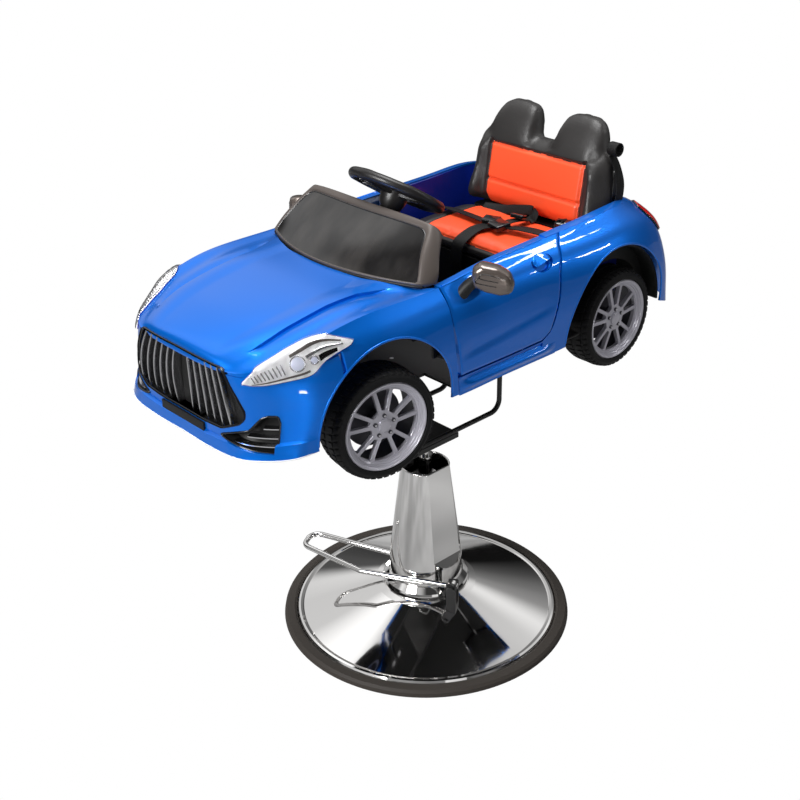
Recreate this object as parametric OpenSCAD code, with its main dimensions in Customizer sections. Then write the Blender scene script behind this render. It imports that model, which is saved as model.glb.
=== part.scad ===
// Kids' car barber chair: a ride-on style car body on a round hydraulic pump base.
// +Z is up, the car looks along -Y, and its left side is +X.
// The origin is the middle of the base's underside, on the pump's axis.

/* [Base] */
// Radius over the rubber ring
base_r = 300; // [290:1:320]
// Width of the rubber ring in plan
ring_w = 27; // [20:1:34]
// Height of the rubber ring
ring_h = 17; // [14:1:22]
// Thickness of the steel base plate
plate_t = 6; // [5:0.5:8]
// Radius of the flat middle of the dome
dome_flat_r = 91; // [90.5:0.5:96]
// Height of the top of the dome
dome_z = 76; // [60:1:84]
// Sheet thickness of the dome
dome_t = 2; // [1.5:0.5:3]
// Width of the rolled bead round the dome
bead_w = 14; // [10:1:18]
// Radius of the hole in the dome that the pump stands in
dome_hole_r = 70; // [64:1:71]

/* [Pump] */
// Outer radius of the collar under the cover
collar_r = 89.5; // [84:0.5:90]
// Height of the collar
collar_h = 26; // [20:1:30]
// Outer radius of the cover's foot
cover_foot_r = 75; // [74.5:0.25:77]
// Height of the cover's straight foot
cover_foot_h = 34; // [26:1:40]
// Outer radius of the cover's mouth
cover_top_r = 49; // [48:0.5:54]
// Height of the cover's mouth above the floor
cover_z = 350; // [345:1:356]
// Wall of the cover
cover_t = 2.5; // [2:0.25:3]
// Half width over the cover's side flats at the mouth
flat_top = 39.5; // [39.5:0.5:44]
// Half width over the cover's side flats at their lower end
flat_low = 63; // [60:0.5:68]
// Radius of the pump cylinder
cylinder_r = 34; // [30:1:35]
// Radius of the cylinder's bore
cylinder_bore_r = 20.2; // [19.8:0.1:22]
// Height of the top of the cylinder above the floor
cylinder_z = 318; // [312:1:322]
// Radius of the piston rod
rod_r = 13; // [11:0.5:14]
// Height of the piston rod's shoulder above the floor
rod_z = 370; // [362:1:376]
// Radius of the piston's swivel neck
neck_r = 7.5; // [6.5:0.5:9]
// Height that the pump lifts the car
lift = 120; // [80:5:140]

/* [Pedal] */
// Radius of the pedal's rod
pedal_rod_r = 5.5; // [4.5:0.25:6]
// Distance of the front arm's line from the pump's axis
pedal_arm_off = 83; // [82:0.5:88]
// Reach of the pedal's tip from the pump's axis
pedal_reach = 262; // [240:2:280]
// Height of the pedal's rod above the floor
pedal_z = 122; // [121:1:126]
// Distance of the pedal's pivot behind the pump's axis
pedal_pivot_back = 80; // [76:1:84]
// Half width of the pedal's loop at its tip
pedal_half = 26; // [22:1:30]
// Angle of the pedal's direction, seen from above
pedal_turn = 209.8; // [200:0.1:220]

/* [Cradle] */
// Radius of the cradle's tubes
tube_r = 5; // [4.5:0.25:7]
// Distance of each tube from the middle plane
tube_x = 72; // [68:1:76]
// Height of the seat plate's top above the floor
seat_plate_z = 444; // [440:1:450]
// Thickness of the seat plate
seat_plate_t = 6; // [5:0.5:7]
// Half width of the seat plate
seat_plate_hw = 76; // [74:1:84]
// Distance of the cradle's rear legs behind the pump's axis
leg_back = 137; // [130:1:145]
// Distance of the cradle's front legs before the pump's axis
leg_front = 165; // [155:1:175]
// Bend radius of the tubes
tube_bend = 24; // [20:1:30]

/* [Car body] */
// Half width of the body
body_hw = 250; // [246:1:256]
// Length of the body
body_l = 1020; // [1010:2:1034]
// Distance of the nose before the pump's axis
nose = 555; // [550:1:560]
// Height of the lower edge of the body
sill_z = 648; // [646:0.5:650]
// Height from the lower edge to the shoulders' datum
body_h = 300; // [294:1:306]
// Wall thickness of the body's shells
wall = 5; // [4:0.5:5.5]
// Thickness of each door
door_t = 17; // [15:0.5:19]
// Gap round each door and between panels
shut_gap = 3; // [3:0.25:4]
// Radius of the rear wheel arches
arch_r = 148; // [142:1:150]
// Radius of the front wheel arches
arch_front_r = 141; // [136:1:146]

/* [Wheels] */
// Distance of the front axle before the pump's axis
axle_front = 298.5; // [294:0.5:304]
// Distance of the rear axle behind the pump's axis
axle_rear = 290; // [282:1:294]
// Height of the axles above the floor
axle_z = 648.5; // [646:0.5:652]
// Radius of the tyres
tyre_r = 97.5; // [94:0.5:100]
// Width of the tyres
tyre_w = 70; // [64:1:72]
// Radius of the rims
rim_r = 79; // [74:1:80]
// Distance of the front wheels' outer faces from the middle plane
track_front = 243; // [240:1:246]
// Distance of the rear wheels' outer faces from the middle plane
track_rear = 238; // [234:1:242]
// Distance of the kingpins from the middle plane
kingpin_x = 146; // [142:1:148]
// Radius of the axles
axle_r = 6; // [5:0.25:7]
// Length of the steering arms
arm_l = 45; // [42:1:48]
// Angle that the front wheels are turned at rest
rest_steer = 10.4; // [0:0.2:12]

/* [Cockpit] */
// Height of the chassis floor's underside
floor_z = 655; // [654:0.5:657]
// Thickness of the chassis floor
floor_t = 6; // [5:0.5:8]
// Half width of the windscreen at its foot
screen_foot_hw = 200; // [192:1:206]
// Half width of the windscreen at its top
screen_top_hw = 157; // [150:1:164]
// Thickness of the windscreen's frame
screen_t = 9; // [8:0.5:11]
// Radius of the steering wheel to the middle of its rim
wheel_ring_r = 82; // [76:1:86]
// Radius of the steering wheel's rim section
wheel_tube_r = 9.5; // [8:0.5:11]
// Tilt of the steering wheel from the horizontal
wheel_tilt = 33; // [30:1:36]
// Half width of the seat
seat_hw = 175; // [168:1:176]
// Height of the seat cushion's top above the floor
seat_z = 798; // [794:1:800]
// Height of the top of the headrests above the floor
headrest_z = 1004; // [996:1:1010]

/* [Hidden] */
$fn = 64;

// Overrun of every cut
over = 2;
// Clearance of a face that carries another, and of a turning or sliding fit
seat_gap = 0.3;
run_fit = 0.05;
bolt_fit = 0.1;
// A flat sheet for anything thin that is cut from a block
far = 2000;

// Colours
chrome = "gainsboro";
steel_black = "dimgray";
car_blue = "dodgerblue";
rubber_black = "darkslategray";
trim_black = "slategray";
leather_black = "darkgray";
leather_red = "orangered";

// Curves through a list of points, uniform in u from 0 to 1
function bend(a, b, c, d, t) =
    0.5 * (2 * b + (c - a) * t + (2 * a - 5 * b + 4 * c - d) * t * t
    + (3 * b - a - 3 * c + d) * t * t * t);
function along(pts, u) =
    let (n = len(pts) - 1, s = min(max(u * n, 0), n), i = min(floor(s), n - 1))
    bend(i == 0 ? 2 * pts[0] - pts[1] : pts[i - 1], pts[i], pts[i + 1],
         i == n - 1 ? 2 * pts[n] - pts[n - 1] : pts[i + 2], s - i);
function mix(a, b, t) = a + (b - a) * t;
function ease(a, b, t) = let (s = min(max((t - a) / (b - a), 0), 1)) s * s * (3 - 2 * s);
function unit(v) = v / norm(v);
function hump(centre, width, t) = let (s = min(abs(t - centre) / width, 1)) (1 - s * s) * (1 - s * s);

// A closed skin between two grids of points, of the same rows and columns
module skin(outer, inner) {
    rows = len(outer);
    cols = len(outer[0]);
    last = rows * cols;
    points = concat([for (r = outer) each r], [for (r = inner) each r]);
    sheets = [for (i = [0:rows - 2], j = [0:cols - 2])
        let (a = i * cols + j, b = a + 1, c = a + cols, d = c + 1)
        each [[a, b, d], [a, d, c], [last + a, last + d, last + b], [last + a, last + c, last + d]]];
    ends = [for (j = [0:cols - 2])
        let (a = j, b = j + 1, c = (rows - 1) * cols + j, d = c + 1)
        each [[a, last + a, last + b], [a, last + b, b], [c, last + d, last + c], [c, d, last + d]]];
    sides = [for (i = [0:rows - 2])
        let (a = i * cols, b = a + cols, c = a + cols - 1, d = c + cols)
        each [[a, last + b, last + a], [a, b, last + b], [c, last + c, last + d], [c, last + d, d]]];
    polyhedron(points, concat(sheets, ends, sides), convexity = 10);
}

// The body's three lengthwise lines from the nose round the left side to the tail:
// lower edge, widest line and top edge, as shares of half width, length and height
low_shares = [
    [0, 0.01, -0.02], [0.28, 0.009, -0.02], [0.524, 0.011, -0.01], [0.668, 0.024, -0.003],
    [0.82, 0.058, 0.007], [0.912, 0.107, 0.02], [0.96, 0.221, 0.02], [0.972, 0.394, 0],
    [0.984, 0.505, 0.007], [0.984, 0.642, 0], [0.984, 0.74, 0.007], [0.976, 0.838, 0.023],
    [0.96, 0.936, 0.013], [0.888, 0.993, -0.04], [0.6, 1.005, 0.047], [0, 1.005, 0.05]];
mid_shares = [
    [0, 0.008, 0.173], [0.28, 0.008, 0.173], [0.496, 0.014, 0.19], [0.64, 0.031, 0.207],
    [0.8, 0.069, 0.227], [0.932, 0.123, 0.24], [1, 0.221, 0.273], [0.988, 0.383, 0.307],
    [0.996, 0.505, 0.32], [1.004, 0.642, 0.32], [1.02, 0.74, 0.34], [1.02, 0.838, 0.34],
    [0.988, 0.922, 0.313], [0.912, 0.97, 0.29], [0.632, 0.996, 0.29], [0, 1.002, 0.29]];
top_shares = [
    [0, 0.012, 0.45], [0.28, 0.012, 0.45], [0.484, 0.017, 0.457], [0.616, 0.039, 0.473],
    [0.72, 0.083, 0.533], [0.788, 0.127, 0.593], [0.824, 0.221, 0.647], [0.84, 0.379, 0.647],
    [0.82, 0.505, 0.677], [0.812, 0.642, 0.69], [0.808, 0.74, 0.697], [0.796, 0.838, 0.71],
    [0.736, 0.899, 0.69], [0.62, 0.944, 0.64], [0.42, 0.972, 0.567], [0, 0.982, 0.567]];
columns = len(low_shares) - 1;
// The columns at the grille's corner, the seam behind the bumper, the front wheel,
// the door's two edges and the rear deck
corner_col = 2;
seam_col = 5.42;
hinge_col = 7;
latch_col = 9;
deck_col = 11.6;
// The hood's middle line, as shares of length and height, over the columns from corner to hinge
hood_shares = [[0.012, 0.45], [0.022, 0.517], [0.073, 0.58], [0.137, 0.62], [0.225, 0.653], [0.304, 0.667]];

function place(s) = [s[0] * body_hw, s[1] * body_l - nose, s[2] * body_h + sill_z];
function side_low(c) = place(along(low_shares, c / columns));
function side_mid(c) = place(along(mid_shares, c / columns));
function side_top(c) = place(along(top_shares, c / columns));
// The shoulder rounds over between the widest line and the top edge
shoulder_shares = [0.35, 0.65];
function side_at(c, t) =
    let (a = side_low(c), b = side_mid(c), d = side_top(c), k = shoulder_shares,
         s = [mix(b.x, d.x, k[0]), mix(b.y, d.y, k[0]), mix(b.z, d.z, k[1])])
    along([a, b, s, d], t);
// The direction into the body, level, from the widest line
column_step = 0.1;
function inward(c) =
    let (v = side_mid(min(c + column_step, columns)) - side_mid(max(c - column_step, 0)),
         n = unit([v.x, v.y]))
    [-n.y, n.x, 0];
// The door's columns run along Y, and the wall behind them is straight
function side_in(c, t, depth) = side_at(c, t) + depth * inward(c);

// A patch of the left side between two columns and two heights, with a given depth;
// lift_off moves it out from the side, and bottom and top may change with the column
module side_patch(c0, c1, steps, rows, bottom, top, depth, lift_off = 0) {
    cols = [for (i = [0:steps]) mix(c0, c1, i / steps)];
    skin([for (c = cols) [for (j = [0:rows]) side_in(c, mix(bottom, top, j / rows), -lift_off)]],
         [for (c = cols) [for (j = [0:rows]) side_in(c, mix(bottom, top, j / rows), depth - lift_off)]]);
}

// Height share of the seam between the bumper and the shell over it
seam_shares = [0.95, 0.9, 0.8, 0.74, 0.72, 0.72];
function seam_at(c) =
    c <= corner_col ? seam_shares[0]
    : c >= seam_col ? 0 : along(seam_shares, (c - corner_col) / (seam_col - corner_col));

seam_gap_share = 0.03;

module both_sides() {
    children();
    mirror([1, 0, 0]) children();
}

// The wheel arches, bored across the body
module arch_cut(y, r, up) {
    translate([0, y, sill_z + up]) rotate([0, 90, 0])
        cylinder(r = r, h = 2 * body_hw + 8 * wall, center = true);
}
module front_arch() { arch_cut(arch_front_y, arch_front_r, arch_front_lift); }
module rear_arch() { arch_cut(arch_rear_y, arch_r, arch_lift); }
arch_lift = 9.5;
arch_front_lift = 12;
arch_front_y = 0.241177 * body_l - nose;
arch_rear_y = 0.808824 * body_l - nose;

// Base and pump
plate_r = base_r - ring_w - seat_gap;
bead_r = plate_r;
bead_h = 13.5;
ring_edge = 3;
// The dome's cone runs between these two heights
cone_low_z = plate_t + bead_h * 0.85;
cone_high_z = dome_z - bead_w * 0.3;
module base_plate() {
    color(steel_black) cylinder(r = plate_r, h = plate_t, $fn = 128);
}
module rubber_ring() {
    color(rubber_black) rotate_extrude($fn = 128) polygon([
        [base_r - ring_w, 0], [base_r - ring_edge, 0], [base_r, ring_edge],
        [base_r - ring_edge / 2, ring_h - 2 * ring_edge], [base_r - 2 * ring_edge, ring_h - ring_edge / 3],
        [base_r - ring_w + 2 * ring_edge, ring_h + ring_edge / 3],
        [base_r - ring_w + ring_edge / 2, ring_h - ring_edge / 2],
        [base_r - ring_w, ring_h - 2 * ring_edge]]);
}
module base_dome() {
    top = [[bead_r, plate_t], [bead_r, plate_t + bead_h * 0.6],
        [bead_r - bead_w * 0.2, plate_t + bead_h * 0.9],
        [bead_r - bead_w * 0.5, plate_t + bead_h], [bead_r - bead_w * 0.85, plate_t + bead_h * 0.96],
        [bead_r - bead_w, plate_t + bead_h * 0.85], [dome_flat_r + bead_w, dome_z - bead_w * 0.3],
        [dome_flat_r, dome_z], [dome_hole_r, dome_z]];
    under = [[bead_r - dome_t, plate_t], [bead_r - dome_t, plate_t + bead_h * 0.55],
        [bead_r - bead_w * 0.5, plate_t + bead_h - dome_t],
        [bead_r - bead_w, plate_t + bead_h * 0.85 - dome_t],
        [dome_flat_r + bead_w, dome_z - bead_w * 0.3 - dome_t], [dome_flat_r, dome_z - dome_t],
        [dome_hole_r, dome_z - dome_t]];
    color(chrome) rotate_extrude($fn = 128)
        polygon(concat(top, [for (i = [len(under) - 1:-1:0]) under[i]]));
}
collar_z = dome_z + collar_h;
collar_clear = 1.5;
collar_bore = cover_foot_r - cover_t - collar_clear;
module pump_collar() {
    color(chrome) difference() {
        rotate_extrude($fn = 96) polygon([
            [collar_bore, dome_z], [collar_r, dome_z], [collar_r, dome_z + collar_h * 0.35],
            [collar_r - collar_h * 0.08, dome_z + collar_h * 0.5],
            [cover_foot_r + collar_h * 0.1, dome_z + collar_h * 0.94],
            [cover_foot_r + collar_h * 0.02, collar_z], [collar_bore, collar_z]]);
        leg_slot();
    }
}
foot_r = 62;
foot_h = 12;
foot_sink = 0.3;
bush_flange_r = 27;
bush_flange_h = 6;
bush_l = 30;
module pump_cylinder() {
    color(steel_black) difference() {
        union() {
            translate([0, 0, plate_t]) cylinder(r = foot_r, h = foot_h);
            translate([0, 0, plate_t]) cylinder(r = cylinder_r, h = cylinder_z - plate_t);
        }
        translate([0, 0, plate_t + foot_h]) cylinder(r = cylinder_bore_r, h = cylinder_z);
    }
}
module guide_bush() {
    color("gold") difference() {
        union() {
            translate([0, 0, cylinder_z - bush_l]) cylinder(r = cylinder_bore_r - bolt_fit, h = bush_l);
            translate([0, 0, cylinder_z]) cylinder(r = bush_flange_r, h = bush_flange_h);
        }
        translate([0, 0, cylinder_z - bush_l - over])
            cylinder(r = rod_r + run_fit, h = bush_l + bush_flange_h + 2 * over);
    }
}
slot_play = 9;
slot_w = 2 * pedal_rod_r + slot_play;
slot_up = 10;
slot_down = 36;
// The cover tapers from a round foot, with a flat on each side; t makes its inner form
module cover_form(t) {
    foot_z = collar_z + cover_foot_h;
    run = t > 0 ? over : 0;
    rise = cover_z - foot_z;
    taper = (cover_foot_r - cover_top_r) / rise;
    intersection() {
        union() {
            translate([0, 0, collar_z - run])
                cylinder(r = cover_foot_r - t, h = cover_foot_h + run, $fn = 96);
            translate([0, 0, foot_z])
                cylinder(r1 = cover_foot_r - t, r2 = cover_top_r - t - taper * run, h = rise + run, $fn = 96);
        }
        rotate([90, 0, 0]) linear_extrude(height = 3 * cover_foot_r, center = true) polygon([
            [-cover_foot_r, collar_z - run], [cover_foot_r, collar_z - run], [cover_foot_r, foot_z],
            [flat_low - t, foot_z + cover_foot_h / 2], [flat_top - t, cover_z], [flat_top - t, cover_z + run],
            [t - flat_top, cover_z + run], [t - flat_top, cover_z], [t - flat_low, foot_z + cover_foot_h / 2],
            [-cover_foot_r, foot_z]]);
    }
}
module pump_cover() {
    color(chrome) difference() {
        cover_form(0);
        cover_form(cover_t);
        leg_slot();
    }
}
module leg_slot() {
    rotate([0, 0, pedal_turn]) translate([cover_top_r, slot_y - slot_w / 2, pedal_z - slot_down])
        cube([collar_r, slot_w, slot_up + slot_down]);
}

// Foot pedal: a rod loop before the pump, one leg into the cover and one past it to the pivot
pivot_r = 4;
lug_t = 6;
eye_gap = 1;
lug_w = 20;
slot_y = 6;
inner_leg_x = 62;
module rod(a, b, r = pedal_rod_r) {
    d = b - a;
    translate(a) rotate([0, acos(d.z / norm(d)), atan2(d.y, d.x)]) cylinder(r = r, h = norm(d), $fn = 32);
}
// A rod bent in one plane through the given points, with a bend radius at each
function turn_of(a, b) =
    let (t = atan2(b.y, b.x) - atan2(a.y, a.x)) t > 180 ? t - 360 : t < -180 ? t + 360 : t;
module bent_rod(pts, bends, r) {
    n = len(pts);
    dirs = [for (i = [0:n - 2]) unit(pts[i + 1] - pts[i])];
    cuts = [for (i = [0:n - 1])
        i == 0 || i == n - 1 ? 0 : bends[i] * tan(abs(turn_of(dirs[i - 1], dirs[i])) / 2)];
    for (i = [0:n - 2]) {
        a = pts[i] + (cuts[i] - (i > 0 ? bend_lap : 0)) * dirs[i];
        b = pts[i + 1] - (cuts[i + 1] - (i < n - 2 ? bend_lap : 0)) * dirs[i];
        rod([a.x, a.y, 0], [b.x, b.y, 0], r);
    }
    for (i = [1:n - 2]) {
        t = turn_of(dirs[i - 1], dirs[i]);
        side = t < 0 ? -1 : 1;
        a = pts[i] - cuts[i] * dirs[i - 1];
        mid = a + side * bends[i] * [-dirs[i - 1].y, dirs[i - 1].x];
        b = pts[i] + cuts[i] * dirs[i];
        from = (t < 0 ? b : a) - mid;
        translate([mid.x, mid.y, 0]) rotate([0, 0, atan2(from.y, from.x)])
            rotate_extrude(angle = abs(t), $fn = 96)
            translate([bends[i], 0]) circle(r = r + bend_swell, $fn = 32);
    }
}
// Each bend is a little thicker than its rods, which reach a little way into it
bend_lap = 1;
bend_swell = 0.06;
elbow_x = 115;
elbow_bend = 20;
tip_bend = 22;
pedal_pts = [[-pedal_pivot_back, pedal_arm_off], [elbow_x, pedal_arm_off], [pedal_reach, pedal_half],
    [pedal_reach, -pedal_half], [inner_leg_x, slot_y]];
eye_r = 2 * pedal_rod_r;
module foot_pedal() {
    color(chrome) rotate([0, 0, pedal_turn]) translate([0, 0, pedal_z]) difference() {
        union() {
            bent_rod(pedal_pts, [0, elbow_bend, tip_bend, tip_bend, 0], pedal_rod_r);
            translate([-pedal_pivot_back, pedal_arm_off, 0]) rotate([90, 0, 0])
                cylinder(r = eye_r, h = eye_r, center = true);
        }
        translate([-pedal_pivot_back, pedal_arm_off, 0]) rotate([90, 0, 0])
            cylinder(r = pivot_r + run_fit, h = 2 * eye_r, center = true);
    }
}
// The pivot's bracket stands on the collar and the dome, with its bolt through the pedal's eye
module pedal_pivot() {
    eye = pedal_rod_r + eye_gap;
    out = pedal_arm_off;
    color(steel_black) rotate([0, 0, pedal_turn]) {
        for (s = [-1, 1]) difference() {
            translate([-pedal_pivot_back - lug_w / 2, out + s * (eye + lug_t / 2) - lug_t / 2, dome_z])
                cube([lug_w, lug_t, pedal_z - dome_z + lug_w / 2]);
            translate([-pedal_pivot_back, out, pedal_z]) rotate([90, 0, 0])
                cylinder(r = pivot_r + bolt_fit, h = far, center = true);
            cylinder(r = collar_r + seat_gap, h = collar_z);
        }
        difference() {
            translate([-pedal_pivot_back - lug_w / 2, out - eye - lug_t, dome_z - 3 * lug_t])
                cube([lug_w, 2 * (eye + lug_t), 3 * lug_t + lug_t]);
            cylinder(r = collar_r + seat_gap, h = far);
            translate([0, 0, cone_low_z]) cylinder(r1 = bead_r - bead_w + 3 * seat_gap,
                r2 = dome_flat_r + bead_w + 3 * seat_gap, h = cone_high_z - cone_low_z, $fn = 128);
            cylinder(r = dome_flat_r + bead_w, h = cone_high_z);
            translate([0, 0, cone_high_z]) cylinder(r1 = dome_flat_r + bead_w + 3 * seat_gap,
                r2 = dome_flat_r + 3 * seat_gap, h = dome_z + seat_gap - cone_high_z, $fn = 128);
        }
        translate([-pedal_pivot_back, out, pedal_z]) rotate([90, 0, 0]) {
            cylinder(r = pivot_r, h = 2 * (eye + lug_t), center = true);
            for (s = [-1, 1]) translate([0, 0, s * (eye + lug_t + pivot_r / 2)])
                cylinder(r = 2 * pivot_r, h = pivot_r, center = true, $fn = 6);
        }
    }
}

// Piston with its head in the cylinder and its neck in the seat plate
head_h = 20;
head_z = 60;
rod_lip = 1.5;
boss_r = 15;
boss_h = 33;
neck_top = seat_plate_z - seat_plate_t - seat_gap;
module piston_rod() {
    color(chrome) {
        translate([0, 0, head_z]) cylinder(r = cylinder_bore_r - seat_gap, h = head_h);
        translate([0, 0, head_z]) cylinder(r = rod_r, h = rod_z - head_z);
        translate([0, 0, head_z]) cylinder(r = neck_r, h = neck_top - head_z);
        translate([0, 0, rod_z - head_h / 5]) cylinder(r = rod_r + rod_lip, h = head_h / 5);
    }
}

// Seat plate and cradle
plate_back = 18;
plate_front = 110;
flange_h = 4;
module seat_plate() {
    under = seat_plate_z - seat_plate_t;
    color(steel_black) {
        translate([-seat_plate_hw, -plate_front, under])
            cube([2 * seat_plate_hw, plate_front + plate_back, seat_plate_t]);
        for (x = [-seat_plate_hw, seat_plate_hw - seat_plate_t])
            translate([x, -plate_front, under - flange_h])
                cube([seat_plate_t, plate_front + plate_back, flange_h]);
        difference() {
            translate([0, 0, under - boss_h]) cylinder(r = boss_r, h = boss_h);
            translate([0, 0, under - boss_h - over]) cylinder(r = neck_r + run_fit, h = boss_h + over);
        }
    }
}
pad_t = 4;
pad_l = 44;
pad_w = 26;
bolt_r = 4;
tube_z = seat_plate_z + tube_r;
leg_top = floor_z - pad_t;
module cradle(x) {
    up = leg_top - tube_z + over / 2;
    color(steel_black) translate([x, 0, 0]) {
        translate([0, 0, tube_z]) rotate([90, 0, 90]) bent_rod(
            [[-leg_front, up], [-leg_front, 0], [leg_back, 0], [leg_back, up]],
            [0, tube_bend, tube_bend, 0], tube_r);
        for (y = [-leg_front, leg_back]) difference() {
            translate([-pad_w / 2, y - pad_l / 2, leg_top]) cube([pad_w, pad_l, pad_t]);
            for (s = [-1, 1]) translate([0, y + s * pad_l / 3, leg_top - over])
                cylinder(r = bolt_r + bolt_fit, h = pad_t + 2 * over);
        }
    }
}
module cradle_left() { cradle(tube_x); }
module cradle_right() { cradle(-tube_x); }
module bolt(h) {
    cylinder(r = 1.8 * bolt_r, h = bolt_r, $fn = 6);
    cylinder(r = bolt_r, h = h + bolt_r);
}
module cradle_bolts() {
    color(chrome) for (x = [-tube_x, tube_x], y = [-leg_front, leg_back], s = [-1, 1])
        translate([x, y + s * pad_l / 3, leg_top - bolt_r]) bolt(pad_t + floor_t - seat_gap);
}

// Chassis: floor, front rails and rear wheel housings
floor_hw = 226;
nose_floor_hw = 100;
nose_floor = nose - 0.29902 * body_l;
narrow_hw = 156;
narrow_front = 178;
door_front_y = -150;
door_rear_y = 92;
tail_inner = 440;
rail_x = 88;
rail_w = 20;
rail_h = 24;
rail_up = 42;
rail_z = axle_z + rail_up;
rail_front = 524.5;
well_in = 158;
well_clear = 13;
well_r = tyre_r + well_clear;
liner_t = 4;
liner_r = arch_r - liner_t;
liner_in = 196;
liner_out = 234;
axle_boss_r = 13;
module well(x, r, h, y, z) {
    translate([x, y, z]) rotate([0, 90, 0]) cylinder(r = r, h = h);
}
module chassis() {
    color(trim_black) difference() {
        union() {
            translate([-floor_hw, door_front_y, floor_z])
                cube([2 * floor_hw, door_rear_y - door_front_y, floor_t]);
            translate([-narrow_hw, -narrow_front, floor_z])
                cube([2 * narrow_hw, narrow_front + tail_inner, floor_t]);
            translate([-nose_floor_hw, -nose_floor, floor_z]) cube([2 * nose_floor_hw, nose_floor, floor_t]);
            // Front rails, stepped up from the floor, and the nose's cross bar
            for (s = [-1, 1]) {
                translate([s * rail_x - rail_w / 2, -rail_front, rail_z])
                    cube([rail_w, rail_front - nose_floor + rail_w, rail_h]);
                translate([s * rail_x - rail_w / 2, -nose_floor, floor_z])
                    cube([rail_w, rail_w, rail_z + rail_h - floor_z]);
            }
            translate([-rail_x, -rail_front, rail_z]) cube([2 * rail_x, rail_w, rail_h]);
            // Bulkhead at the front of the footwell
            translate([-nose_floor_hw, -nose_floor, floor_z])
                cube([2 * nose_floor_hw, floor_t, rail_z + rail_h - floor_z]);
            // Rear wheel wells, and the liners between them and the arches
            for (s = [0, 1]) mirror([s, 0, 0]) intersection() {
                union() {
                    well(well_in - liner_t, well_r + liner_t,
                        liner_in + liner_t - well_in, axle_rear, axle_z);
                    well(liner_in, liner_r, liner_out - liner_in, arch_rear_y, sill_z + arch_lift);
                }
                translate([0, 0, floor_z]) cube([body_hw, far / 2, body_h]);
            }
            // Axle bosses under the tail
            for (s = [-1, 1]) translate([s * (narrow_hw - axle_boss_r), axle_rear, axle_z])
                translate([-axle_boss_r, -axle_boss_r, -axle_boss_r])
                cube([2 * axle_boss_r, 2 * axle_boss_r, floor_z - axle_z + axle_boss_r + floor_t]);
        }
        for (s = [0, 1]) mirror([s, 0, 0]) {
            well(well_in, well_r, body_hw, axle_rear, axle_z);
            well(liner_in + liner_t, liner_r - liner_t, body_hw, arch_rear_y, sill_z + arch_lift);
        }
        translate([-body_hw, axle_rear, axle_z]) rotate([0, 90, 0])
            cylinder(r = axle_r + bolt_fit, h = 2 * body_hw);
        for (x = [-tube_x, tube_x], y = [-leg_front, leg_back], s = [-1, 1])
            translate([x, y + s * pad_l / 3, floor_z - over])
                cylinder(r = bolt_r + bolt_fit, h = floor_t + 2 * over);
    }
}

// Front suspension: beam, knuckles, tie rod
beam_hw = 15;
beam_h = 18;
beam_z = rail_z - beam_h;
kingpin_r = 6;
hub_r = 13;
module front_beam() {
    color(steel_black) difference() {
        union() {
            translate([-kingpin_x, -axle_front - beam_hw, beam_z]) cube([2 * kingpin_x, 2 * beam_hw, beam_h]);
            for (s = [-1, 1]) translate([s * kingpin_x, -axle_front, beam_z])
                cylinder(r = beam_hw, h = beam_h);
        }
        for (s = [-1, 1]) translate([s * kingpin_x, -axle_front, beam_z - over])
            cylinder(r = kingpin_r + run_fit, h = beam_h + 2 * over);
    }
}
// The axle ends stay this far inside the wheels' faces
axle_inset = 14;
stub_end = track_front - axle_inset;
arm_t = 7;
arm_drop = 24;
arm_z = axle_z - arm_drop;
kingpin_up = 3;
kingpin_head_h = 4;
pin_r = 3.5;
module knuckle(side) {
    color(steel_black) translate([side * kingpin_x, -axle_front, 0]) rotate([0, 0, -rest_steer]) {
        translate([0, 0, arm_z]) cylinder(r = hub_r, h = beam_z - seat_gap - arm_z);
        translate([0, 0, beam_z - over]) cylinder(r = kingpin_r, h = beam_h + over + kingpin_up);
        translate([0, 0, rail_z + seat_gap]) cylinder(r = 1.6 * kingpin_r, h = kingpin_head_h);
        translate([0, 0, axle_z]) rotate([0, side * 90, 0]) cylinder(r = axle_r, h = stub_end - kingpin_x);
        translate([-hub_r / 2, 0, arm_z]) cube([hub_r, arm_l, arm_t]);
        translate([0, arm_l, arm_z]) cylinder(r = hub_r / 2, h = arm_t);
        translate([0, arm_l, arm_z - 2 * arm_t]) cylinder(r = pin_r, h = 2 * arm_t + over);
    }
}
module knuckle_left() { knuckle(1); }
module knuckle_right() { knuckle(-1); }
slot_half = 6;
slot_side = 0.6;
bar_w = 14;
tie_x = arm_l * sin(rest_steer);
tie_y = -axle_front + arm_l * cos(rest_steer);
module tie_rod() {
    color(steel_black) translate([tie_x, tie_y, arm_z - seat_gap - arm_t]) difference() {
        union() {
            translate([-kingpin_x, -bar_w / 2, 0]) cube([2 * kingpin_x, bar_w, arm_t]);
            for (s = [-1, 1]) translate([s * kingpin_x - bar_w / 2, -bar_w / 2 - slot_half, 0])
                cube([bar_w, bar_w + 2 * slot_half, arm_t]);
        }
        for (s = [-1, 1]) translate([s * kingpin_x - pin_r - slot_side, -slot_half - pin_r, -over])
            cube([2 * (pin_r + slot_side), 2 * (slot_half + pin_r), arm_t + 2 * over]);
    }
}
module rear_axle() {
    color(chrome) translate([axle_inset - track_rear, axle_rear, axle_z]) rotate([0, 90, 0])
        cylinder(r = axle_r, h = 2 * (track_rear - axle_inset));
}

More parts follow.
